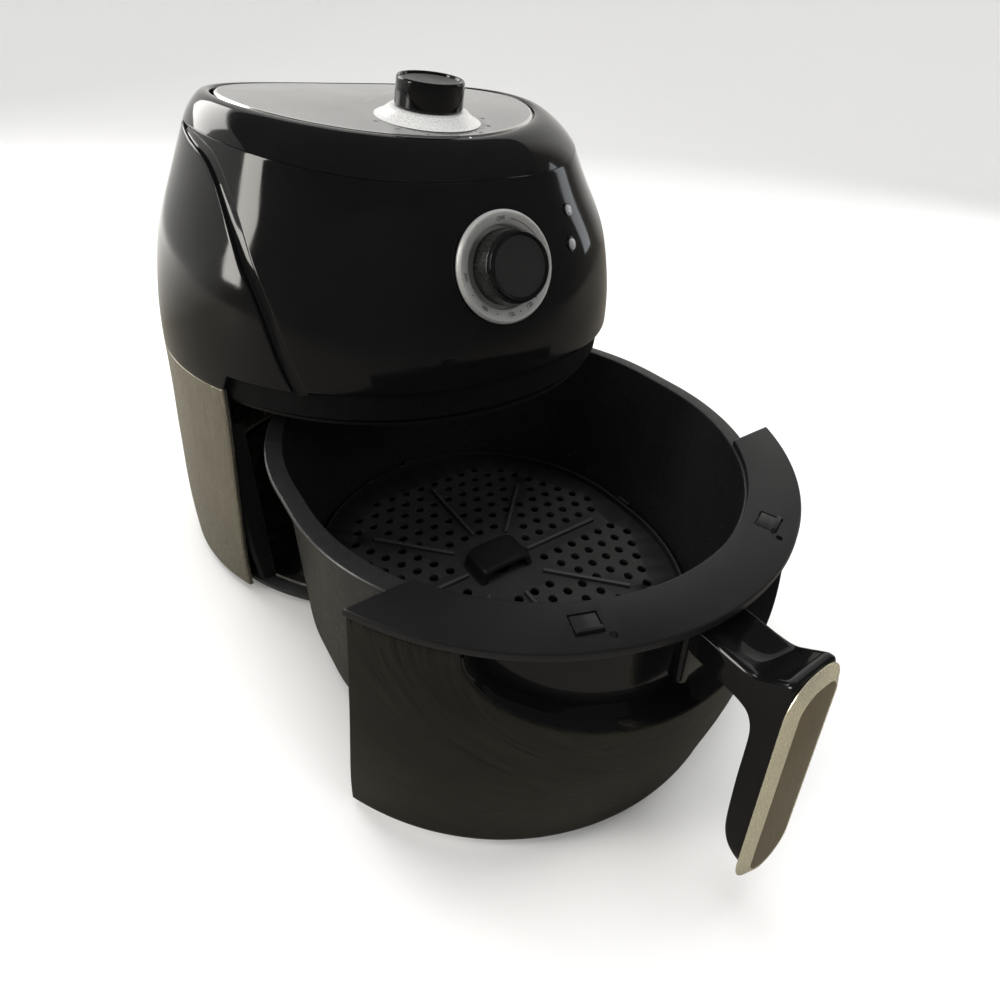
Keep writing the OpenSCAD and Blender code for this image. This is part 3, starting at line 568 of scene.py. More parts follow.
M = {
    "black_gloss_shell": gloss_black("gloss_shell"),
    "satin_graphite": brushed_dark("satin_graphite", (0.0035, 0.0036, 0.0028), (0.021, 0.0208, 0.0155), 0.26, 0.42, 0.14, 0.3, 0.04, True),
    "housing_lower": brushed_dark("lower_satin", (0.19, 0.174, 0.139), (0.32, 0.295, 0.236), 0.18, 0.3, 0.5, 0.8),
    "bay_black": matte("bay_black", (0.0035, 0.0035, 0.0037), 0.66, 0.84, 1500, 0.2, 0.08, 0.06, (0.01, 0.01, 0.01)),
    "base_black": matte("base_black", (0.014, 0.014, 0.015), grain=1100),
    "rubber_feet": matte("rubber", (0.018, 0.018, 0.018), 0.65, 0.85, 900, 0.5, 0.3, 0.15),
    "zinc_screws": satin_metal("zinc", (0.45, 0.45, 0.44), (0.62, 0.62, 0.6), 0.28, 0.45, 1, 1, 1, 900),
    "galvanised": galvanised("galvanised"),
    "insulation": felt("felt"),
    "element_steel": tinted_steel("element_steel"),
    "guard_wire": satin_metal("guard_steel", (0.38, 0.37, 0.35), (0.55, 0.54, 0.52), 0.3, 0.45, 1, 1, 1, 700),
    "fan_alu": satin_metal("fan_alu", (0.5, 0.5, 0.49), (0.66, 0.66, 0.65), 0.3, 0.45, 1, 1, 0.1, 900),
    "motor_core": laminated("motor_core"),
    "fan_plastic": matte("fan_plastic", (0.02, 0.02, 0.021)),
    "control_body": matte("control_body", (0.5, 0.46, 0.37), grain=800),
    "bell": satin_metal("bell_steel", (0.5, 0.46, 0.36), (0.66, 0.62, 0.5), 0.22, 0.35, 1, 1, 0.05, 900),
    "silver_satin": satin_metal("silver_satin", (0.37, 0.37, 0.37), (0.46, 0.46, 0.46), 0.26, 0.36, 1, 0.02, 1, 1500, 0.06, metal=0.7),
    "silver_handle": satin_metal("silver_handle", (0.25, 0.207, 0.134), (0.345, 0.29, 0.188), 0.24, 0.34, 1, 1, 0.015, 1800, 0.1),
    "ceramic": matte("ceramic", (0.62, 0.61, 0.56), 0.25, 0.4, 500, 0.1, 0.5, 0.1),
    "clear_lens": lens_mat("lens"),
    "shaft_steel": satin_metal("shaft_steel", (0.45, 0.45, 0.45), (0.6, 0.6, 0.6), 0.18, 0.3, 1, 1, 0.03, 1200),
    "pan_coat": coated("pan_coat"),
    "tray_coat": coated("tray_coat", (0.011, 0.011, 0.0115), 0.3, 0.42, 0.2, 300),
    "bumper_rubber": matte("bumper", (0.014, 0.014, 0.014), 0.6, 0.8, 900, 0.4, 0.3, 0.1),
    "knob_gloss": gloss_black("knob_gloss", 0.05, 0.12),
    "knob_face": matte("knob_face", (0.011, 0.011, 0.0112), 0.32, 0.42, 1700, 0.12),
    "collar_black": matte("collar_black", (0.0055, 0.0055, 0.0062), 0.3, 0.42, 1500, 0.16, 0.36, 0.12, (0.05, 0.05, 0.05)),
}
M["bright_edge"] = satin_metal("bright_edge", (0.78, 0.77, 0.75), (0.9, 0.89, 0.87), 0.14, 0.24, 1, 1, 1, 900, 0.04)
M["trim_silver"] = satin_metal("trim_silver", (0.74, 0.69, 0.51), (0.8, 0.75, 0.56), 0.2, 0.28, 1, 1, 0.12, 2200, 0.01, wear=0.1, metal=0.75)
M["skirt_metal"] = satin_metal("skirt_metal", (0.075, 0.077, 0.076), (0.12, 0.122, 0.12), 0.2, 0.3, 1, 1, 1, 1500, 0.05, wear=0.1)
M["hub_silver"] = satin_metal("hub_silver", (0.68, 0.68, 0.67), (0.82, 0.82, 0.81), 0.24, 0.34, 1, 1, 1, 1500, 0.04, metal=0.4)
M["ring_silver"] = satin_metal("ring_silver", (0.4, 0.4, 0.39), (0.56, 0.56, 0.55), 0.26, 0.38, 1, 1, 1, 1500, 0.05, metal=0.55)
# painted shade: the chamber deck gets a near-black matte in place of its own slot finish, so its rim below the cover
# reads as shade
M["deck_shade_black"] = matte("deck_shade_black", (0.0045, 0.0045, 0.0046), 0.6, 0.78, 900, 0.25, 0.12, 0.05, (0.02, 0.019, 0.018))
# painted highlight: a lighter grey than the tray coat, with lighter edges, for the bright lines along the tray's ribs
M["rib_painted_highlight"] = matte("rib_painted_highlight", (0.05, 0.05, 0.052), 0.26, 0.4, 1300, 0.15, 0.6, 0.3, (0.2, 0.2, 0.2))
M["ink_dark"] = ink("ink_dark", (0.02, 0.02, 0.022))
M["ink_white"] = ink("ink_white", (0.75, 0.75, 0.73))

slot_of = {s["node"]: s["material_slot"] for s in frame["record"]["subparts"]}
for nme, ob in NODES.items():
    ob.data.materials.clear()
    # the chamber deck takes the near-black painted-shade material instead of its slot material
    ob.data.materials.append(M["deck_shade_black" if nme == "chamber_deck" else slot_of[nme]])
    ob.data.shade_smooth()
    ob.data.set_sharp_from_angle(angle=math.radians(24))

# ------------------------------------------------------------------ covers of the body
SF, SR = s_edge(2.6), s_edge(-2.6)
# front cover: between the lower edge or the S line and the crease
tq = np.linspace(1, 120, 4000)
A_end = tq[np.argmax((SF(tq) >= crease(tq) - 0.5) & (tq > 60))]
t_c = tq[np.argmax(SF(tq) > 166.0)]
half = np.concatenate([np.linspace(0, t_c, 46), t_c + (A_end - t_c) * (1 - (1 - np.linspace(0, 1, 70)[1:]) ** 1.25)])
tF = np.concatenate([-half[:0:-1], half])
lo = np.maximum(166.0, SF(np.abs(tF))); hi = np.maximum(crease(tF), lo + 0.3)
v, f = body_patch(tF, lo, hi, 46, 1.3, 0.45)
front = add("v_front_cover", v, f, "housing", "black_gloss_shell", ["front_cover"], M["black_gloss_shell"], DH, 40)

TD = math.radians(17.7)
DIAL = Matrix.Translation(Vector((0, -137.8, 225.6))) @ Matrix.Rotation(math.pi / 2 - TD, 4, "X")


def lens_frame(t, z, tip):
    r = float(RA(t, z)); t = math.radians(t)
    return (Matrix.Translation(Vector((r * math.sin(t), float(Y(z)) - r * math.cos(t), z)))
            @ Matrix.Rotation(t - math.pi / 2, 4, "Z") @ Matrix.Rotation(math.radians(90 - tip), 4, "Y"))


LENS = [("lens_power", lens_frame(25, 246.4, 23)), ("lens_heat", lens_frame(22.2, 229.7, 18))]
cuts = [cutter(*lathe([(0, -16), (27.9, -16), (27.9, 25), (0, 25)], 120, DIAL), dy=DH)]
for _, m in LENS:
    cuts.append(cutter(*lathe([(0, -8), (3.6, -8), (3.6, 8), (0, 8)], 48, m), dy=DH))
boolean(front, cuts, 40)

# rear housing
z_tail = 166.0
t_r = tq[np.argmax(SR(tq) > z_tail + 0.6)]
ts = np.concatenate([np.linspace(t_r, 62.0, 22), np.linspace(62.4, 63.6, 4), np.linspace(65.4, 180, 74)])
tR = np.concatenate([ts, 360 - ts[-2::-1]])
tm = np.where(tR > 180, 360 - tR, tR)
lo = 156.35 + (z_tail - 156.35) * np.clip((63.6 - tm) / 1.6, 0, 1)
hi = np.minimum(np.where(tm < A_end + 3, SR(tm), 1e3), crease(tR)); hi = np.maximum(hi, lo + 0.4)
v, f = body_patch(tR, lo, hi, 44, 0.6, 1.0)
rear = add("v_rear_housing", v, f, "housing", "black_gloss_shell", ["rear_housing"], M["black_gloss_shell"], DH, 40)
ol = rnd([(-46, 196, 5), (46, 196, 5), (46, 252, 5), (-46, 252, 5)], True, 6)
sec = [np.stack([ol[:, 0], np.full(len(ol), yv), ol[:, 1]], -1) for yv in (100.0, 190.0)]
boolean(rear, [cutter(*rings(sec), dy=DH)], 40)

# rear grille: frame and slats that follow the curved back
def back_pt(x, z, off):
    r = R(z) - off
    return np.stack([x, Y(z) + np.sqrt(r * r - x * x), z + 0 * x], -1)


def back_bar(x0, x1, z0, z1, off, thick, r=0.7, nx=30):
    k = np.array([0, 0.12, 0.4, 1.0]) * r
    xs = np.concatenate([x0 + k, np.linspace(x0 + r, x1 - r, nx)[1:-1], (x1 - k)[::-1]])
    zz = np.concatenate([z0 + k, np.linspace(z0 + r, z1 - r, 4)[1:-1], (z1 - k)[::-1]])
    O = []; I = []
    for x in xs:
        q = np.full(len(zz), x)
        d = np.maximum(drop(min(x - x0, x1 - x), r), np.maximum(drop(zz - z0, r), drop(z1 - zz, r)))
        P = back_pt(q, zz, off); tt = np.degrees(np.arctan2(q, -(P[:, 1] - Y(zz))))
        O.append(P - surfn(tt, zz) * d[:, None]); I.append(back_pt(q, zz, off + thick))
    return closed_shell(np.array(O), np.array(I))


bars = [back_bar(-45.6, -39.4, 196.4, 251.6, 0.5, 2.4, nx=6), back_bar(39.4, 45.6, 196.4, 251.6, 0.5, 2.4, nx=6)]
edges_z = [196.4] + [q for i in range(7) for q in (200.4 + 7.2 * i, 204.4 + 7.2 * i)] + [251.6]
for i in range(8):
    bars.append(back_bar(-39.8, 39.8, edges_z[2 * i], edges_z[2 * i + 1], 0.8, 2.1, 0.8))
add("v_rear_grille", *merge(*bars), "housing", "bay_black", ["rear_grille"], M["bay_black"], DH, 40)

# lower housing
ts = with_edges(np.linspace(63.8, 296.2, 150), 1.4)
v, f = body_patch(ts, np.full(len(ts), 5.25), np.full(len(ts), 155.9), 50, 1.6, 0.6, 1.4)
add("v_lower_housing", v, f, "housing", "housing_lower", ["lower_housing"], M["housing_lower"], DH, 40)

# S groove: recessed strip with a low ridge on each side
def strip(sign):
    fS = pchip(SC[:, ::-1]); z = np.linspace(164.2, 281.5, 120); y = fS(z)
    gy, gz = np.gradient(y), np.gradient(z); L = np.hypot(gy, gz)
    prof = [(-2.5, 2.6), (-2.5, 1.0), (-2.2, 0.75), (-1.8, 1.35), (0, 1.5), (1.8, 1.35), (2.2, 0.75), (2.5, 1.0), (2.5, 2.6)]
    secs = []
    for k in range(len(z)):
        w = min(1.0, max(0.12, (285.0 - z[k]) / 7.0)); row = []
        for d, o in prof:
            yy, zz = y[k] - w * d * gz[k] / L[k], z[k] + w * d * gy[k] / L[k]
            r = float(R(zz)) - o; s = max(-1, min(1, (yy - float(Y(zz))) / r))
            row.append((sign * r * math.sqrt(max(0, 1 - s * s)), yy, zz))
        secs.append(row)
    return rings(secs)


for sgn, nm in ((-1, "trim_strip_left"), (1, "trim_strip_right")):
    add("v_" + nm, *strip(sgn), "housing", "black_gloss_shell", [nm], M["black_gloss_shell"], DH, 30)

# rim that rounds over to the top plate
SR_ = [(0.0, 0.0, 0), (0.02, 0.45, 0), (0.13, 2.9, 0), (0.27, 5.5, 0), (0.42, 7.8, 0), (0.57, 9.75, 0), (0.71, 11.3, 0), (0.84, 12.5, 0), (0.95, 13.25, 0), (1.06, 13.6, 0), (1.18, 13.7, 0), (1.28, 13.55, 0), (1.36, 13.1, 0),
       (1.395, 12.5, 0), (1.4, 11.6, 0), (1.4, 9.4, 0), (1.2, 7.4, 0), (0.8, 4.5, 0), (0.25, 0.0, 0)]
secs = []
for t in np.linspace(0, 360, 240, endpoint=False):
    zc0 = float(crease(t, 13.8)); r0, y0 = float(RA(t, zc0)), float(Y(zc0)); row = []
    for q, h, _ in SR_:
        r = (1 - q) * r0 + q * 107; yc = (1 - min(1, q)) * y0 + min(1, q) * 10
        x, y = r * math.sin(math.radians(t)), yc - r * math.cos(math.radians(t))
        z = (zc0 if q == 0 else H - 13.8 + float(zs(y))) + h
        row.append((x, y, z))
    secs.append(row)
add("v_top_rim", *rings(secs, close=True), "housing", "black_gloss_shell", ["top_rim"], M["black_gloss_shell"], DH, 42)

# silver top plate, bent front to back, with a bright bevelled edge
TT = math.radians(8.2)
TIMER = Matrix.Translation(Vector((0, -54, H - 0.8 + float(zs(-54))))) @ Matrix.Rotation(TT, 4, "X")


def bent_disc(rs, hs, segs=180, hole=None):
    rows_ = []
    for r, h in zip(rs, hs):
        a = np.linspace(0, 2 * math.pi, segs, endpoint=False)
        if hole is not None and r == rs[0]:
            x, y = 4 * np.cos(a), -54 + 4 * np.sin(a)
        else:
            x, y = r * np.cos(a), 10 + r * np.sin(a)
        rows_.append(np.stack([x, y, H + zs(y) + h], -1))
    return np.array(rows_)


top = bent_disc([0.5, 20, 40, 60, 80, 92, 97.3], [-0.8] * 7)
edge_t = bent_disc([97.3, 97.9, 98.6, 99.6, 99.95, 99.95, 99.2, 97.3], [-0.8, -0.72, -0.78, -1.5, -1.9, -2.3, -2.4, -2.4])
bot = bent_disc([97.3, 60, 20, 0.5], [-2.4] * 4)
m_, n_ = top.shape[:2]
vt, ft = top.reshape(-1, 3), gfaces(m_, n_, 0, False, True) + [tuple(range(n_))]
vb, fb = bot.reshape(-1, 3), gfaces(bot.shape[0], n_, 0, False, True) + [tuple(3 * n_ + k for k in range(n_))]
ve, fe = edge_t.reshape(-1, 3), gfaces(edge_t.shape[0], n_, 0, False, True)
v, f = merge((vt, ft), (ve, fe), (vb, fb))
plate = add("v_top_plate", v, f, "housing", "silver_satin", ["top_plate"], M["silver_satin"], DH, 24)
boolean(plate, [cutter(*lathe([(0, -12), (4, -12), (4, 12), (0, 12)], 48, TIMER), dy=DH)], 24)
plate.data.materials.append(M["bright_edge"])
for p in plate.data.polygons:
    c = p.center
    if math.hypot(c.x * 1000, c.y * 1000 - 10 - DH) > 97.9: p.material_index = 1

# timer hub, knob and cap
add("v_timer_hub", *lathe(rnd([(3.7, 0.0), (30.6, 0.0), (31.0, 0.12, 0.05), (28.6, 1.0, 6), (25.2, 3.4, 5), (23.0, 5.4, 1.2), (20.6, 5.9, 0.6), (3.7, 5.9)], False, 6), 128, TIMER),
    "housing", "silver_satin", ["timer_hub"], M["hub_silver"], DH, 50)
tr_, th_ = 19.7, 16.0
kb = [(0, 6.4), (tr_ - 0.8, 6.4), (tr_, 7.2, 0.5), (tr_ - 0.25, 6.4 + th_ - 1.1, 1.0), (tr_ - 1.0, 6.4 + th_, 0.5), (tr_ - 2.3, 6.4 + th_, 0.7), (tr_ - 3.0, 6.4 + th_ - 1.7, 0.4), (0, 6.4 + th_ - 1.9)]
add("v_timer_knob", *lathe(rnd(kb, False, 5), 144, TIMER), "timer", "knob_gloss", ["timer_knob"], M["knob_gloss"], DH, 50)
capz = 6.4 + th_ - 1.9
add("v_timer_cap", *lathe(rnd([(0, capz - 0.05), (tr_ - 3.4, capz - 0.05), (tr_ - 3.4, capz + 0.5, 0.3), (tr_ - 4.6, capz + 0.75, 2), (8, capz + 0.15, 8), (0, capz + 0.1)], False, 6), 128, TIMER),
    "timer", "knob_face", ["timer_cap"], M["knob_face"], DH, 50)

# ------------------------------------------------------------------ front dial
RR = 29.8
add("v_dial_ring", *lathe(rnd([(3.7, -7), (27.6, -7), (27.6, -0.15), (RR - 0.1, 0.1, 0.2), (RR, 1.5, 0.7), (RR - 1.3, 3.3, 0.5), (RR - 2.3, 3.15, 0.5), (22.6, 0.3, 0.6), (22.2, -0.4, 0.3), (22.2, -5.4), (3.7, -5.4)], False, 5), 144, DIAL),
    "housing", "silver_satin", ["dial_ring"], M["ring_silver"], DH, 40)
sk, cr, dh = 20.2, 18.2, 15.0
add("v_dial_skirt", *lathe(rnd([(0, 0.8), (sk - 0.5, 0.8), (sk, 1.2, 0.3), (sk - 0.1, 2.2, 0.6), (cr + 0.75, dh - 3.2, 0.5), (cr - 0.2, dh - 2.5), (0, dh - 2.5)], False, 5), 144, DIAL),
    "dial", "silver_satin", ["dial_skirt"], M["skirt_metal"], DH, 40)
cz = dh - 2.4
add("v_dial_cap", *lathe(rnd([(0, cz), (cr, cz, 0.2), (cr + 0.05, cz + 1.5, 0.7), (cr - 0.8, cz + 2.4, 0.5), (cr - 1.7, cz + 2.3, 0.5), (cr - 2.2, cz + 1.5, 0.4), (0, cz + 1.45)], False, 5), 144, DIAL),
    "dial", "knob_gloss", ["dial_cap"], M["knob_gloss"], DH, 40)
v, f = lathe(rnd([(0, cz + 1.47), (cr - 2.6, cz + 1.47), (cr - 2.6, cz + 1.62, 0.1), (cr - 4.5, cz + 1.66, 3), (0, cz + 1.58)], False, 5), 96, DIAL)
add("v_dial_face", v, f, "dial", "knob_face", [], M["knob_face"], DH, 50)

for nm, m in LENS:
    add("v_" + nm, *lathe(rnd([(0, -5), (3.45, -5), (3.45, 0.3, 0.3), (3.1, 0.95, 0.6), (1.8, 1.35, 3), (0, 1.45)], False, 5), 64, m), "housing", "clear_lens", [nm], M["clear_lens"], DH, 60)
    add("v_bezel_" + nm, *lathe(rnd([(3.5, -0.5), (4.5, -0.5), (4.45, 0.25, 0.3), (4.0, 0.45, 0.3), (3.55, 0.2, 0.2)], True, 4), 64, m), "housing", "black_gloss_shell", [], M["black_gloss_shell"], DH, 50)


# printed marks
def on_ring(v, ang, r0, flip):
    """text laid on the dial ring's sloping face; ang is clockwise from the top"""
    out = []
    for x, y, z in v:
        yy = -y if flip else y
        xx = -x if flip else x
        r = r0 + yy; a = math.radians(ang) + xx / r0
        zz = 0.3 + (r - 22.6) * (2.85 / 4.9) + 0.03 + (z + 0.02)
        out.append((r * math.sin(a), r * math.cos(a), zz))
    w = (np.array(DIAL)[:3, :3] @ np.array(out).T).T + np.array(DIAL)[:3, 3]
    return w


parts = []
for s, a, fl in (("OFF", 0, False), ("120", 152, True), ("150", 181, True), ("180", 221, True), ("200", 266, True), ("80", 96, True), ("100", 124, True)):
    v, f = text2d(s, 3.0, 0.05); parts.append((on_ring(v, a, 25.1, fl), f))
for a in (110, 138, 167, 201, 243):
    v, f = lathe([(0, -0.02), (0.42, -0.02), (0.42, 0.02), (0, 0.02)], 16); parts.append((on_ring(v, a, 25.1, False), f))
arc = []
for a in np.linspace(14, 84, 50):
    arc.append([(x, y, z) for (x, y, z) in on_ring(np.array([(0, 0.16, -0.02), (0, 0.16, 0.02), (0, -0.16, 0.02), (0, -0.16, -0.02)]), a, 25.1, False)])
parts.append(rings(arc))
add("v_dial_marks", *merge(*parts), "housing", "silver_satin", [], M["ink_dark"], DH, 30)


def on_plate(v, ang, r0, flip=False):
    out = []
    for x, y, z in v:
        if flip: x, y = -x, -y
        r = r0 + y; a = math.radians(ang) + x / r0
        px, py = r * math.sin(a), -54 + r * math.cos(a) * math.cos(TT)
        out.append((px, py, H - 0.8 + float(zs(py)) + 0.05 + z))
    return np.array(out)


parts = []
for s, a in (("0", 180), ("5", 208), ("10", 236), ("15", 262), ("20", 98), ("25", 124), ("30", 152)):
    v, f = text2d(s, 3.0, 0.02); parts.append((on_plate(v, a, 35.6, True), f))
for k in range(25):
    a = 98 + k * (164 / 24.0)
    L = 1.5 if k % 4 == 0 else 0.9
    v, f = box(-0.16, 0.16, -L / 2, L / 2, -0.02, 0.02); parts.append((on_plate(v, a, 32.6), f))
add("v_timer_marks", *merge(*parts), "housing", "silver_satin", [], M["ink_dark"], DH, 30)
# index mark on the rim in front of the timer knob
yx = 10 - 104.3
v, f = lathe([(0, -0.03), (0.75, -0.03), (0.75, 0.05), (0, 0.05)], 24)
v = v + np.array([4.0, yx, H - 13.8 + 13.68 + float(zs(yx))])
v[:, 2] += (v[:, 1] - yx) * 0.19
add("v_index_mark", v, f, "housing", "silver_satin", [], M["ink_white"], DH, 30)

# ------------------------------------------------------------------ cord gland at the rear
GL = Matrix.Translation(Vector((0, 146.3, 34))) @ Matrix.Rotation(-math.pi / 2, 4, "X")
add("v_cord_gland", *lathe(rnd([(3.5, -10), (8, -10), (8, 0), (11, 0, 0.2), (11, 1.1, 0.5), (9.2, 2.1, 1), (6.6, 3.05, 0.6), (4.2, 3.05, 0.5), (3.5, 2.4, 0.4)], True, 5), 72, GL),
    "housing", "base_black", ["cord_gland"], M["base_black"], DH, 40)

# ------------------------------------------------------------------ drawer: pan
PY, PS = 0.0, 10.0


def stad(r, z, n=160):
    a = np.linspace(0, 2 * math.pi, n, endpoint=False) + math.pi / n
    x, y = r * np.cos(a), r * np.sin(a)
    y = PY + y + np.where(y >= 0, PS, -PS)
    if r > 121: y = np.minimum(y, 133.0 - (127.0 - r))
    return np.stack([x, y, np.full(n, z)], -1)


prof = rnd([(1.5, 22.05), (104, 22.0, 6), (108.3, 27, 8), (117.6, 132.4, 0), (117.95, 134.0, 1.6), (126.4, 134.0, 0.7), (127.0, 133.3, 0.5), (127.0, 132.5, 0.3), (119.8, 132.5, 1.2), (109.5, 26, 6), (105.0, 20.5, 4), (1.5, 20.5)], False, 6)
secs = [stad(r, z) for r, z in prof]
# stadium sections along the profile, lofted into a solid with both ends capped
v, f = rings(secs, close=False, caps=True)
add("v_pan", v, f, "drawer", "pan_coat", ["pan"], M["pan_coat"], DD, 40)

# collar: band between the pan's edge and the front outline
def collar():
    a1 = math.degrees(math.acos(65.0 / 119.0)); a2 = math.degrees(math.acos(68.7 / 146.2))
    u = np.linspace(-1, 1, 121)
    k = np.array([0, 0.08, 0.25, 0.55, 1.0]) * 0.011
    u = np.concatenate([-1 + k, u[(u > -0.985) & (u < 0.985)], (1 - k)[::-1]])
    z0, z1, r = 134.0, 137.4, 0.8
    prof_v = [(0, z0), (0, z1 - r)] + [(r * (1 - math.cos(q)), z1 - r + r * math.sin(q)) for q in (0.4, 0.8, 1.2, math.pi / 2)]
    secs = []
    for q in u:
        ai, ao = math.radians(a1 * q), math.radians(a2 * q)
        P = np.array([119 * math.sin(ai), -10 - 119 * math.cos(ai)]); Q = np.array([146.15 * math.sin(ao), -6.3 - 146.15 * math.cos(ao)])
        e = min(1 - abs(q), 0.011) / 0.011; d = drop(e * 0.8, 0.8)
        L = np.linalg.norm(Q - P); D = (Q - P) / L; row = []
        for s_, z in prof_v: row.append((P + D * s_, z))
        for s_, z in prof_v[::-1]: row.append((Q - D * s_, z))
        secs.append([(p[0], p[1], z - (d if z > z0 + 0.5 else 0)) for p, z in row])
    return rings(secs)


col = add("v_collar", *collar(), "drawer", "collar_black", ["collar"], M["collar_black"], DD, 40)
cuts = []
for s in (-1, 1):
    cuts.append(cutter(*lathe([(0, 120), (1.6, 120), (1.6, 140), (0, 140)], 32, Matrix.Translation(Vector((s * 50, -136.8, 0)))), dy=DD))
    m = Matrix.Translation(Vector((s * 55.5, -127.6, 136.2))) @ Matrix.Rotation(math.radians(s * 20), 4, "Z")
    v, f = box(-6, 6, -5, 5.0, 0, 3); v = (np.array(m)[:3, :3] @ v.T).T + np.array(m)[:3, 3]
    cuts.append(cutter(v, f, dy=DD))
boolean(col, cuts, 40)
parts = []
for s in (-1, 1):
    m = np.array(Matrix.Translation(Vector((s * 55.5, -127.6, 136.3))) @ Matrix.Rotation(math.radians(s * 20), 4, "Z"))
    pr = rnd([(-4.4, 0), (4.4, 0), (4.4, 1.0, 0.3), (-2.2, 1.0, 0.4), (-2.6, 2.5, 0.3), (-4.4, 2.5, 0.3)], True, 3)
    xs = [-5.4, -5.3, -5.0, 5.0, 5.3, 5.4]; sh = [0.3, 0.1, 0, 0, 0.1, 0.3]
    c = pr.mean(0)
    secs = [[(x, c[0] + (p[0] - c[0]) * (1 - d * 0.1), max(0, p[1] - (d if p[1] > 0.2 else 0))) for p in pr] for x, d in zip(xs, sh)]
    v, f = rings(secs); v = (m[:3, :3] @ v.T).T + m[:3, 3]; parts.append((v, f))
add("v_collar_clips", *merge(*parts), "drawer", "collar_black", ["collar_clips"], M["collar_black"], DD, 40)

# fascia with the scooped opening
SA, SB, SZ = 100.5, 50.0, 136.0


def smile(p, d=0.0):
    """outline of the scoop, drawn in by d, at angle p"""
    c, q = np.cos(p), np.sin(p)
    return (SA - d) * np.sign(c) * np.abs(c) ** 0.889, SZ - (SB - d) * np.abs(q) ** 0.889


p0 = math.asin(((SZ - 133.7) / SB) ** 1.125)
tA = math.degrees(math.asin(float(smile(p0)[0]) / (float(R(133.7)) - 0.7)))
side = np.concatenate([np.degrees(np.array([0, 0.05, 0.16, 0.34, 0.6, 1.0]) * 1.2 / 146.0) - 61.6, np.linspace(-61.6 + 0.9, -tA - 0.12, 26)])
ph = np.linspace(math.pi + p0, 2 * math.pi - p0, 160)
ax, az_ = smile(ph)
ta = np.degrees(np.arcsin(ax / (R(az_) - 0.7)))
tt = np.concatenate([side, ta, -side[::-1]])
zt = np.concatenate([np.full(len(side), 133.75), np.minimum(az_, 133.75), np.full(len(side), 133.75)])
v, f = body_patch(tt, np.full(len(tt), 5.35), zt, 46, 1.8, 0.9, 1.0, off=0.7, thick=2.1)
add("v_fascia", v, f, "drawer", "satin_graphite", ["fascia"], M["satin_graphite"], DD, 40)

# gloss inset: sloping lip along the scoop and the wall behind it
lip = rnd([(0.3, 1.0), (0.7, 0.75, 0.2), (3.4, 4.6, 3), (6.0, 9.2, 0.7), (6.0, 10.9), (0.3, 10.9)], True, 4)
secs = []
for p in np.linspace(math.pi + 0.06, 2 * math.pi - 0.06, 150):
    row = []
    for d, o in lip:
        x, z = (float(q) for q in smile(p, d)); z = min(z, 132.15); rad = float(R(z)) - o
        row.append((x, float(Y(z)) - math.sqrt(rad * rad - x * x), z))
    secs.append(row)
p1 = rings(secs)
ph = np.linspace(math.pi + 0.085, 2 * math.pi - 0.085, 110); O = []; I = []
for p in ph:
    x, zb = (float(q) for q in smile(p, 3.5))
    zz = np.linspace(min(zb, 131.6), 132.1, 24)
    ro, ri = R(zz) - 9.3, R(zz) - 10.9
    O.append(np.stack([0 * zz + x, Y(zz) - np.sqrt(ro ** 2 - x * x), zz], -1)); I.append(np.stack([0 * zz + x, Y(zz) - np.sqrt(ri ** 2 - x * x), zz], -1))
p2 = closed_shell(np.array(O), np.array(I))
add("v_fascia_inset", *merge(p1, p2), "drawer", "knob_gloss", ["fascia_inset"], M["knob_gloss"], DD, 40)

# ------------------------------------------------------------------ handle
def crom(P, n):
    P = np.asarray(P, float); out = []
    for i in range(len(P) - 1):
        a, b, c, d = P[max(i - 1, 0)], P[i], P[i + 1], P[min(i + 2, len(P) - 1)]
        for k in range(n):
            t = k / n
            out.append(0.5 * ((2 * b) + (-a + c) * t + (2 * a - 5 * b + 4 * c - d) * t * t + (-a + 3 * b - 3 * c + d) * t ** 3))
    out.append(P[-1]); return np.array(out)


# stations: back point (y, z), front or top point (y, z), half width, depth of the dish, roundness of the back
ST = [
    (-141.0, 113.2, -141.0, 127.8, 13.2, 2.3, 0.14), (-148.0, 113.2, -148.5, 127.9, 13.2, 2.5, 0.14), (-156.0, 113.0, -157.0, 127.95, 13.2, 2.5, 0.14),
    (-162.5, 112.6, -165.0, 128.0, 13.2, 2.4, 0.14), (-167.5, 112.2, -171.0, 128.9, 13.2, 1.8, 0.14), (-171.4, 110.8, -175.6, 131.7, 13.2, 0.6, 0.14),
    (-173.6, 107.8, -179.6, 134.6, 13.2, 0.0, 0.14), (-174.7, 103.6, -183.4, 136.9, 13.2, 0.0, 0.14), (-175.0, 98.0, -185.7, 135.0, 13.2, 0.0, 0.14),
    (-175.0, 90.0, -185.85, 122.0, 13.2, 0.0, 0.14), (-174.9, 79.0, -185.85, 102.0, 13.2, 0.0, 0.14), (-175.1, 65.0, -185.85, 80.0, 13.2, 0.0, 0.14),
    (-175.4, 54.5, -185.85, 62.0, 13.2, 0.0, 0.14), (-176.2, 48.0, -185.85, 51.0, 13.18, 0.0, 0.14), (-178.0, 43.6, -185.85, 44.8, 13.1, 0.0, 0.14),
    (-180.6, 40.0, -185.85, 40.4, 12.2, 0.0, 0.14), (-183.3, 36.2, -185.85, 36.3, 9.9, 0.0, 0.14), (-185.1, 33.4, -185.85, 33.45, 6.3, 0.0, 0.14)]
ST = crom(ST, 6)
secs = []
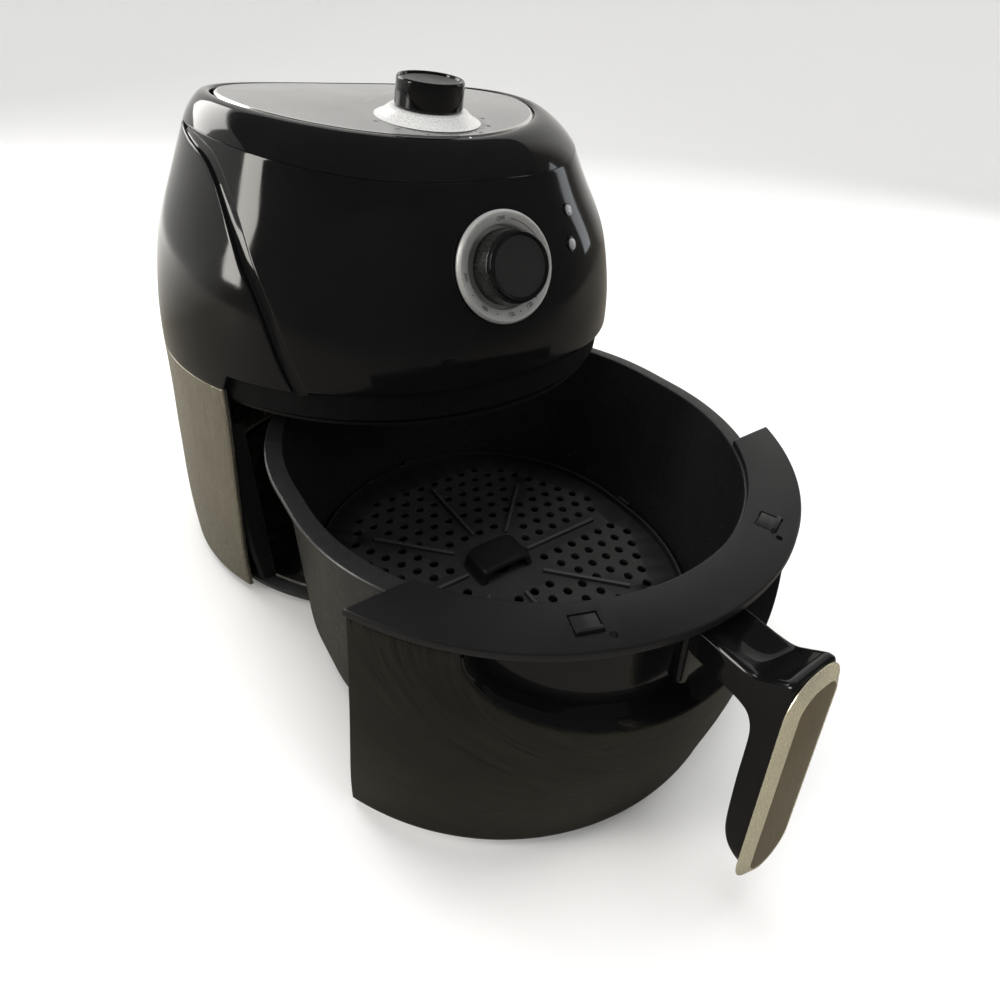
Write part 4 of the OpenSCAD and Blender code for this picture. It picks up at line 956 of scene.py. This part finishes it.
for by, bz, fy, fz, w, dish, rb in ST:
    B, F_ = np.array([by, bz]), np.array([fy, fz]); L = np.linalg.norm(F_ - B); D = (F_ - B) / L; row = []
    rf = min(2.0, L * 0.2, w * 0.3); rbk = min(w * rb, L * 0.62)
    # section in (p along back to front, q sideways)
    sec = [(L - 0.0 - dish * math.cos(math.pi / 2 * min(1, abs(q) / (w - rf))) ** 1.2, q) for q in np.linspace(-(w - rf), w - rf, 17)]
    sec += [(L - rf * (1 - math.cos(a)), w - rf + rf * math.sin(a)) for a in (0.5, 1.0, math.pi / 2)]
    sec += [(p_, w) for p_ in np.linspace(L - rf, rbk, 6)[1:-1]]
    sec += [(rbk * (1 - math.sin(a)), w * (1 - rb) + w * rb * math.cos(a)) for a in np.linspace(0, math.pi / 2, 8)]
    k_ = len(sec)
    right = sec[17:]
    sec = sec + [(p_, -q) for p_, q in right[::-1]]
    for p_, q in sec:
        P = B + D * p_; row.append((q, P[0], P[1]))
    secs.append(row)
add("v_handle_grip", *rings(secs), "drawer", "knob_gloss", ["handle_grip"], M["knob_gloss"], DD, 48)
# moulded boss where the arm leaves the scoop
parts = []
m = Matrix.Translation(Vector((0, -142.3, 115.5))) @ Matrix.Rotation(math.pi / 2, 4, "X")
ol = rnd([(-18.2, -19.5, 7), (18.2, -19.5, 7), (18.2, 15.6, 2.5), (-18.2, 15.6, 2.5)], True, 8)
secs = []
for k, h in ((1.0, 0), (1.0, 2.2), (0.985, 3.0), (0.95, 3.6), (0.9, 3.9)):
    secs.append([(p[0] * k, p[1] * k, h) for p in ol])
v, f = rings(secs); v = (np.array(m)[:3, :3] @ v.T).T + np.array(m)[:3, 3]
add("v_handle_boss", v, f, "drawer", "knob_gloss", [], M["knob_gloss"], DD, 40)


def rrect(w, z0, z1, r, y, n=14):
    pts = []
    for cx, cz_, a0 in ((w / 2 - r, z0 + r, -90), (w / 2 - r, z1 - r, 0), (-w / 2 + r, z1 - r, 90), (-w / 2 + r, z0 + r, 180)):
        for k in range(n + 1):
            a = math.radians(a0 + 90 * k / n); pts.append((cx + r * math.cos(a), y, cz_ + r * math.sin(a)))
    return pts


HW, HB0, HT1, HR = 17.0, 27.8, 138.9, 14.8      # half width, bottom, top and top corner radius of the silver edge


def frame_sec(ins, y):
    w, pts = HW - ins, []
    for a in np.linspace(-math.pi, 0, 61): pts.append((w * math.cos(a), y, HB0 + HW + w * math.sin(a)))
    r = HR - ins
    for a in np.linspace(0, math.pi / 2, 22): pts.append((HW - HR + r * math.cos(a), y, HT1 - HR + r * math.sin(a)))
    for a in np.linspace(math.pi / 2, math.pi, 22): pts.append((-HW + HR + r * math.cos(a), y, HT1 - HR + r * math.sin(a)))
    return pts


secs = [frame_sec(i_, y_) for i_, y_ in ((5.75, -186.03), (0.3, -186.03), (0.03, -186.2), (0.02, -186.42), (0.25, -186.62), (4.9, -188.7), (5.25, -188.87), (5.6, -188.87), (5.75, -188.7))]
add("v_handle_trim", *rings(secs, close=True), "drawer", "silver_handle", ["handle_trim"], M["trim_silver"], DD, 22)
secs = [frame_sec(i_, y_) for i_, y_ in ((5.82, -187.0), (5.82, -188.45), (5.95, -188.62), (6.4, -188.7))]
add("v_handle_plate", *rings(secs), "drawer", "silver_handle", ["handle_plate"], M["silver_handle"], DD, 22)

# ------------------------------------------------------------------ crisper tray pieces
TZ = 37.0
outer = rnd([(-19.5, 0.0), (-18.6, 2.4, 2.4), (-16.4, 8.6, 4.6), (-9.5, 10.5, 6), (9.5, 10.5, 6), (16.4, 8.6, 4.6), (18.6, 2.4, 2.4), (19.5, 0.0)], False, 6)
inner = rnd([(-18.2, 0.0), (-17.2, 2.4, 2), (-15.2, 7.4, 3.4), (-10.0, 9.1, 3.4), (10.0, 9.1, 3.4), (15.2, 7.4, 3.4), (17.2, 2.4, 2), (18.2, 0.0)], False, 6)
prof = list(outer) + list(inner[::-1]); c = np.array([0, 5.0]); secs = []
for y, k in ((-11, 0.84), (-10.85, 0.9), (-10.4, 0.945), (-9.7, 0.975), (-8.7, 0.993), (-7.4, 1.0), (7.4, 1.0), (8.7, 0.993), (9.7, 0.975), (10.4, 0.945), (10.85, 0.9), (11, 0.84)):
    secs.append([(p[0] * k, PY + y, TZ + max(0.0, p[1] * k)) for p in prof])
add("v_tray_dome", *rings(secs), "tray", "tray_coat", ["tray_dome"], M["tray_coat"], DD, 40)

# rounded tops along the tray's ribs, in a lighter grey than the tray: painted highlight along the rib tops
parts = []
for a, r0, r1 in [(0, 22, 78), (180, 22, 78)] + [(k, 28, 80) for k in (45, 135, 225, 315)] + [(90, 28, 82), (270, 28, 82)]:
    ca, sa = math.cos(math.radians(a)), math.sin(math.radians(a)); secs = []
    for t, k in ((r0 - 0.15, 0.3), (r0 + 0.1, 0.85), (r0 + 0.6, 1.0), (r1 - 0.6, 1.0), (r1 - 0.1, 0.85), (r1 + 0.15, 0.3)):
        row = [(-1.0 * k, 1.9), (-1.0 * k, 2.3)] + [(-1.0 * k * math.cos(q), 2.3 + 0.38 * k * math.sin(q)) for q in np.linspace(0.4, math.pi - 0.4, 7)] + [(1.0 * k, 2.3), (1.0 * k, 1.9)]
        secs.append([(t * ca - w_ * sa, PY + t * sa + w_ * ca, TZ + h_) for w_, h_ in row])
    parts.append(rings(secs))
add("v_tray_ribs", *merge(*parts), "tray", "tray_coat", [], M["rib_painted_highlight"], DD, 40)

# ------------------------------------------------------------------ stage, lights and camera
def stage():
    prof = [(0.0, 0.0), (0.6, 0.0), (1.2, 0.0), (2.0, 0.0)] + [(2.0 + 1.4 * math.sin(a), 1.4 * (1 - math.cos(a))) for a in np.linspace(0.1, math.pi / 2, 14)] + [(3.4, 3.2)]
    v = []; f = []; n = 64
    for r, z in prof[1:]:
        v += [(r * math.cos(2 * math.pi * k / n), r * math.sin(2 * math.pi * k / n), z) for k in range(n)]
    v.append((0, 0, 0))
    for i in range(len(prof) - 2):
        for k in range(n): f.append((i * n + k, (i + 1) * n + k, (i + 1) * n + (k + 1) % n, i * n + (k + 1) % n))
    for k in range(n): f.append((len(v) - 1, k, (k + 1) % n))
    me = bpy.data.meshes.new("floor"); me.from_pydata(v, [], f); me.shade_smooth()
    ob = bpy.data.objects.new("floor", me); bpy.context.scene.collection.objects.link(ob)
    m = bpy.data.materials.new("floor"); m.use_nodes = True; t = m.node_tree; p = t.nodes["Principled BSDF"]
    p.inputs["Roughness"].default_value = 0.75; p.inputs["Specular IOR Level"].default_value = 0.15
    # the floor is pale; in reflections it is darker in front and lighter behind, as if flags stood before the part
    lp = t.nodes.new("ShaderNodeLightPath"); mx = t.nodes.new("ShaderNodeMix"); mx.data_type = "RGBA"
    mx.inputs[6].default_value = (0.86, 0.86, 0.86, 1)
    tc = t.nodes.new("ShaderNodeTexCoord"); sp = t.nodes.new("ShaderNodeSeparateXYZ"); t.links.new(tc.outputs["Object"], sp.inputs[0])
    mr = t.nodes.new("ShaderNodeMapRange"); mr.inputs[1].default_value = -1.6; mr.inputs[2].default_value = 1.6
    t.links.new(sp.outputs["Y"], mr.inputs[0])
    cr = t.nodes.new("ShaderNodeValToRGB"); e = cr.color_ramp.elements
    e[0].position = 0.15; e[0].color = (0.1, 0.095, 0.085, 1); e[1].position = 0.92; e[1].color = (1.0, 0.99, 0.96, 1)
    k = e.new(0.36); k.color = (0.17, 0.157, 0.131, 1); k = e.new(0.66); k.color = (0.21, 0.195, 0.163, 1)
    t.links.new(mr.outputs[0], cr.inputs[0]); t.links.new(cr.outputs[0], mx.inputs[7])
    t.links.new(lp.outputs["Is Glossy Ray"], mx.inputs[0]); t.links.new(mx.outputs[2], p.inputs["Base Color"])
    me.materials.append(m)


stage()


def area(name, loc, aim, sx, sy, power, col=(1, 1, 1)):
    L = bpy.data.lights.new(name, "AREA"); L.shape = "RECTANGLE"; L.size = sx; L.size_y = sy; L.energy = power; L.color = col
    ob = bpy.data.objects.new(name, L); bpy.context.scene.collection.objects.link(ob)
    ob.location = loc; d = Vector(aim) - Vector(loc)
    ob.rotation_euler = d.to_track_quat("-Z", "Y").to_euler()
    return ob


area("key_left", (-1.5, 0.35, 0.75), (0, 0.05, 0.15), 0.3, 1.2, 15, (1.0, 0.97, 0.9))
area("back_left", (-0.7, 1.6, 1.1), (0, 0.1, 0.15), 0.9, 0.9, 14, (1.0, 0.98, 0.95))
area("right_strip", (1.6, -0.1, 0.7), (0, 0, 0.15), 0.3, 1.0, 2.0, (0.9, 0.95, 1.0))
for q in (area("top_soft", (0.0, 0.1, 2.2), (0, 0, 0.1), 1.6, 1.6, 36), area("right_low", (1.5, -0.5, 0.6), (0, -0.1, 0.1), 0.5, 0.9, 8, (1.0, 0.96, 0.88)),
          area("front_fill", (0.5, -1.9, 1.5), (0, -0.1, 0.1), 1.0, 0.8, 9)):
    q.visible_glossy = False
w = bpy.data.worlds.new("w"); bpy.context.scene.world = w; w.use_nodes = True
bg = w.node_tree.nodes["Background"]; bg.inputs[0].default_value = (1, 1, 1, 1)
lp = w.node_tree.nodes.new("ShaderNodeLightPath"); mr = w.node_tree.nodes.new("ShaderNodeMapRange")
mr.inputs[3].default_value = 0.48; mr.inputs[4].default_value = 0.09
w.node_tree.links.new(lp.outputs["Is Glossy Ray"], mr.inputs[0]); w.node_tree.links.new(mr.outputs[0], bg.inputs[1])

az, el, ro = -0.607752, 0.400024, 0.0513868
C = Vector((-195.161, -403.394 + YO, 333.243))
wv = Vector((-math.sin(az) * math.cos(el), math.cos(az) * math.cos(el), -math.sin(el)))
rv = Vector((math.cos(az), math.sin(az), 0)); uv = rv.cross(wv)
r2 = rv * math.cos(ro) + uv * math.sin(ro); u2 = -rv * math.sin(ro) + uv * math.cos(ro)
cam = bpy.data.cameras.new("cam"); co = bpy.data.objects.new("cam", cam); bpy.context.scene.collection.objects.link(co)
co.matrix_world = Matrix(((r2.x, u2.x, -wv.x, C.x * 0.001), (r2.y, u2.y, -wv.y, C.y * 0.001), (r2.z, u2.z, -wv.z, C.z * 0.001), (0, 0, 0, 1)))
cam.sensor_width = 36; cam.sensor_fit = "HORIZONTAL"; cam.lens = 0.663806 * 36
cam.shift_x, cam.shift_y = 0.01474, -0.17797
cam.clip_start = 0.01; cam.clip_end = 50
bpy.context.scene.camera = co
bpy.context.scene.view_settings.view_transform = "Standard"
bpy.context.scene.view_settings.look = "None"
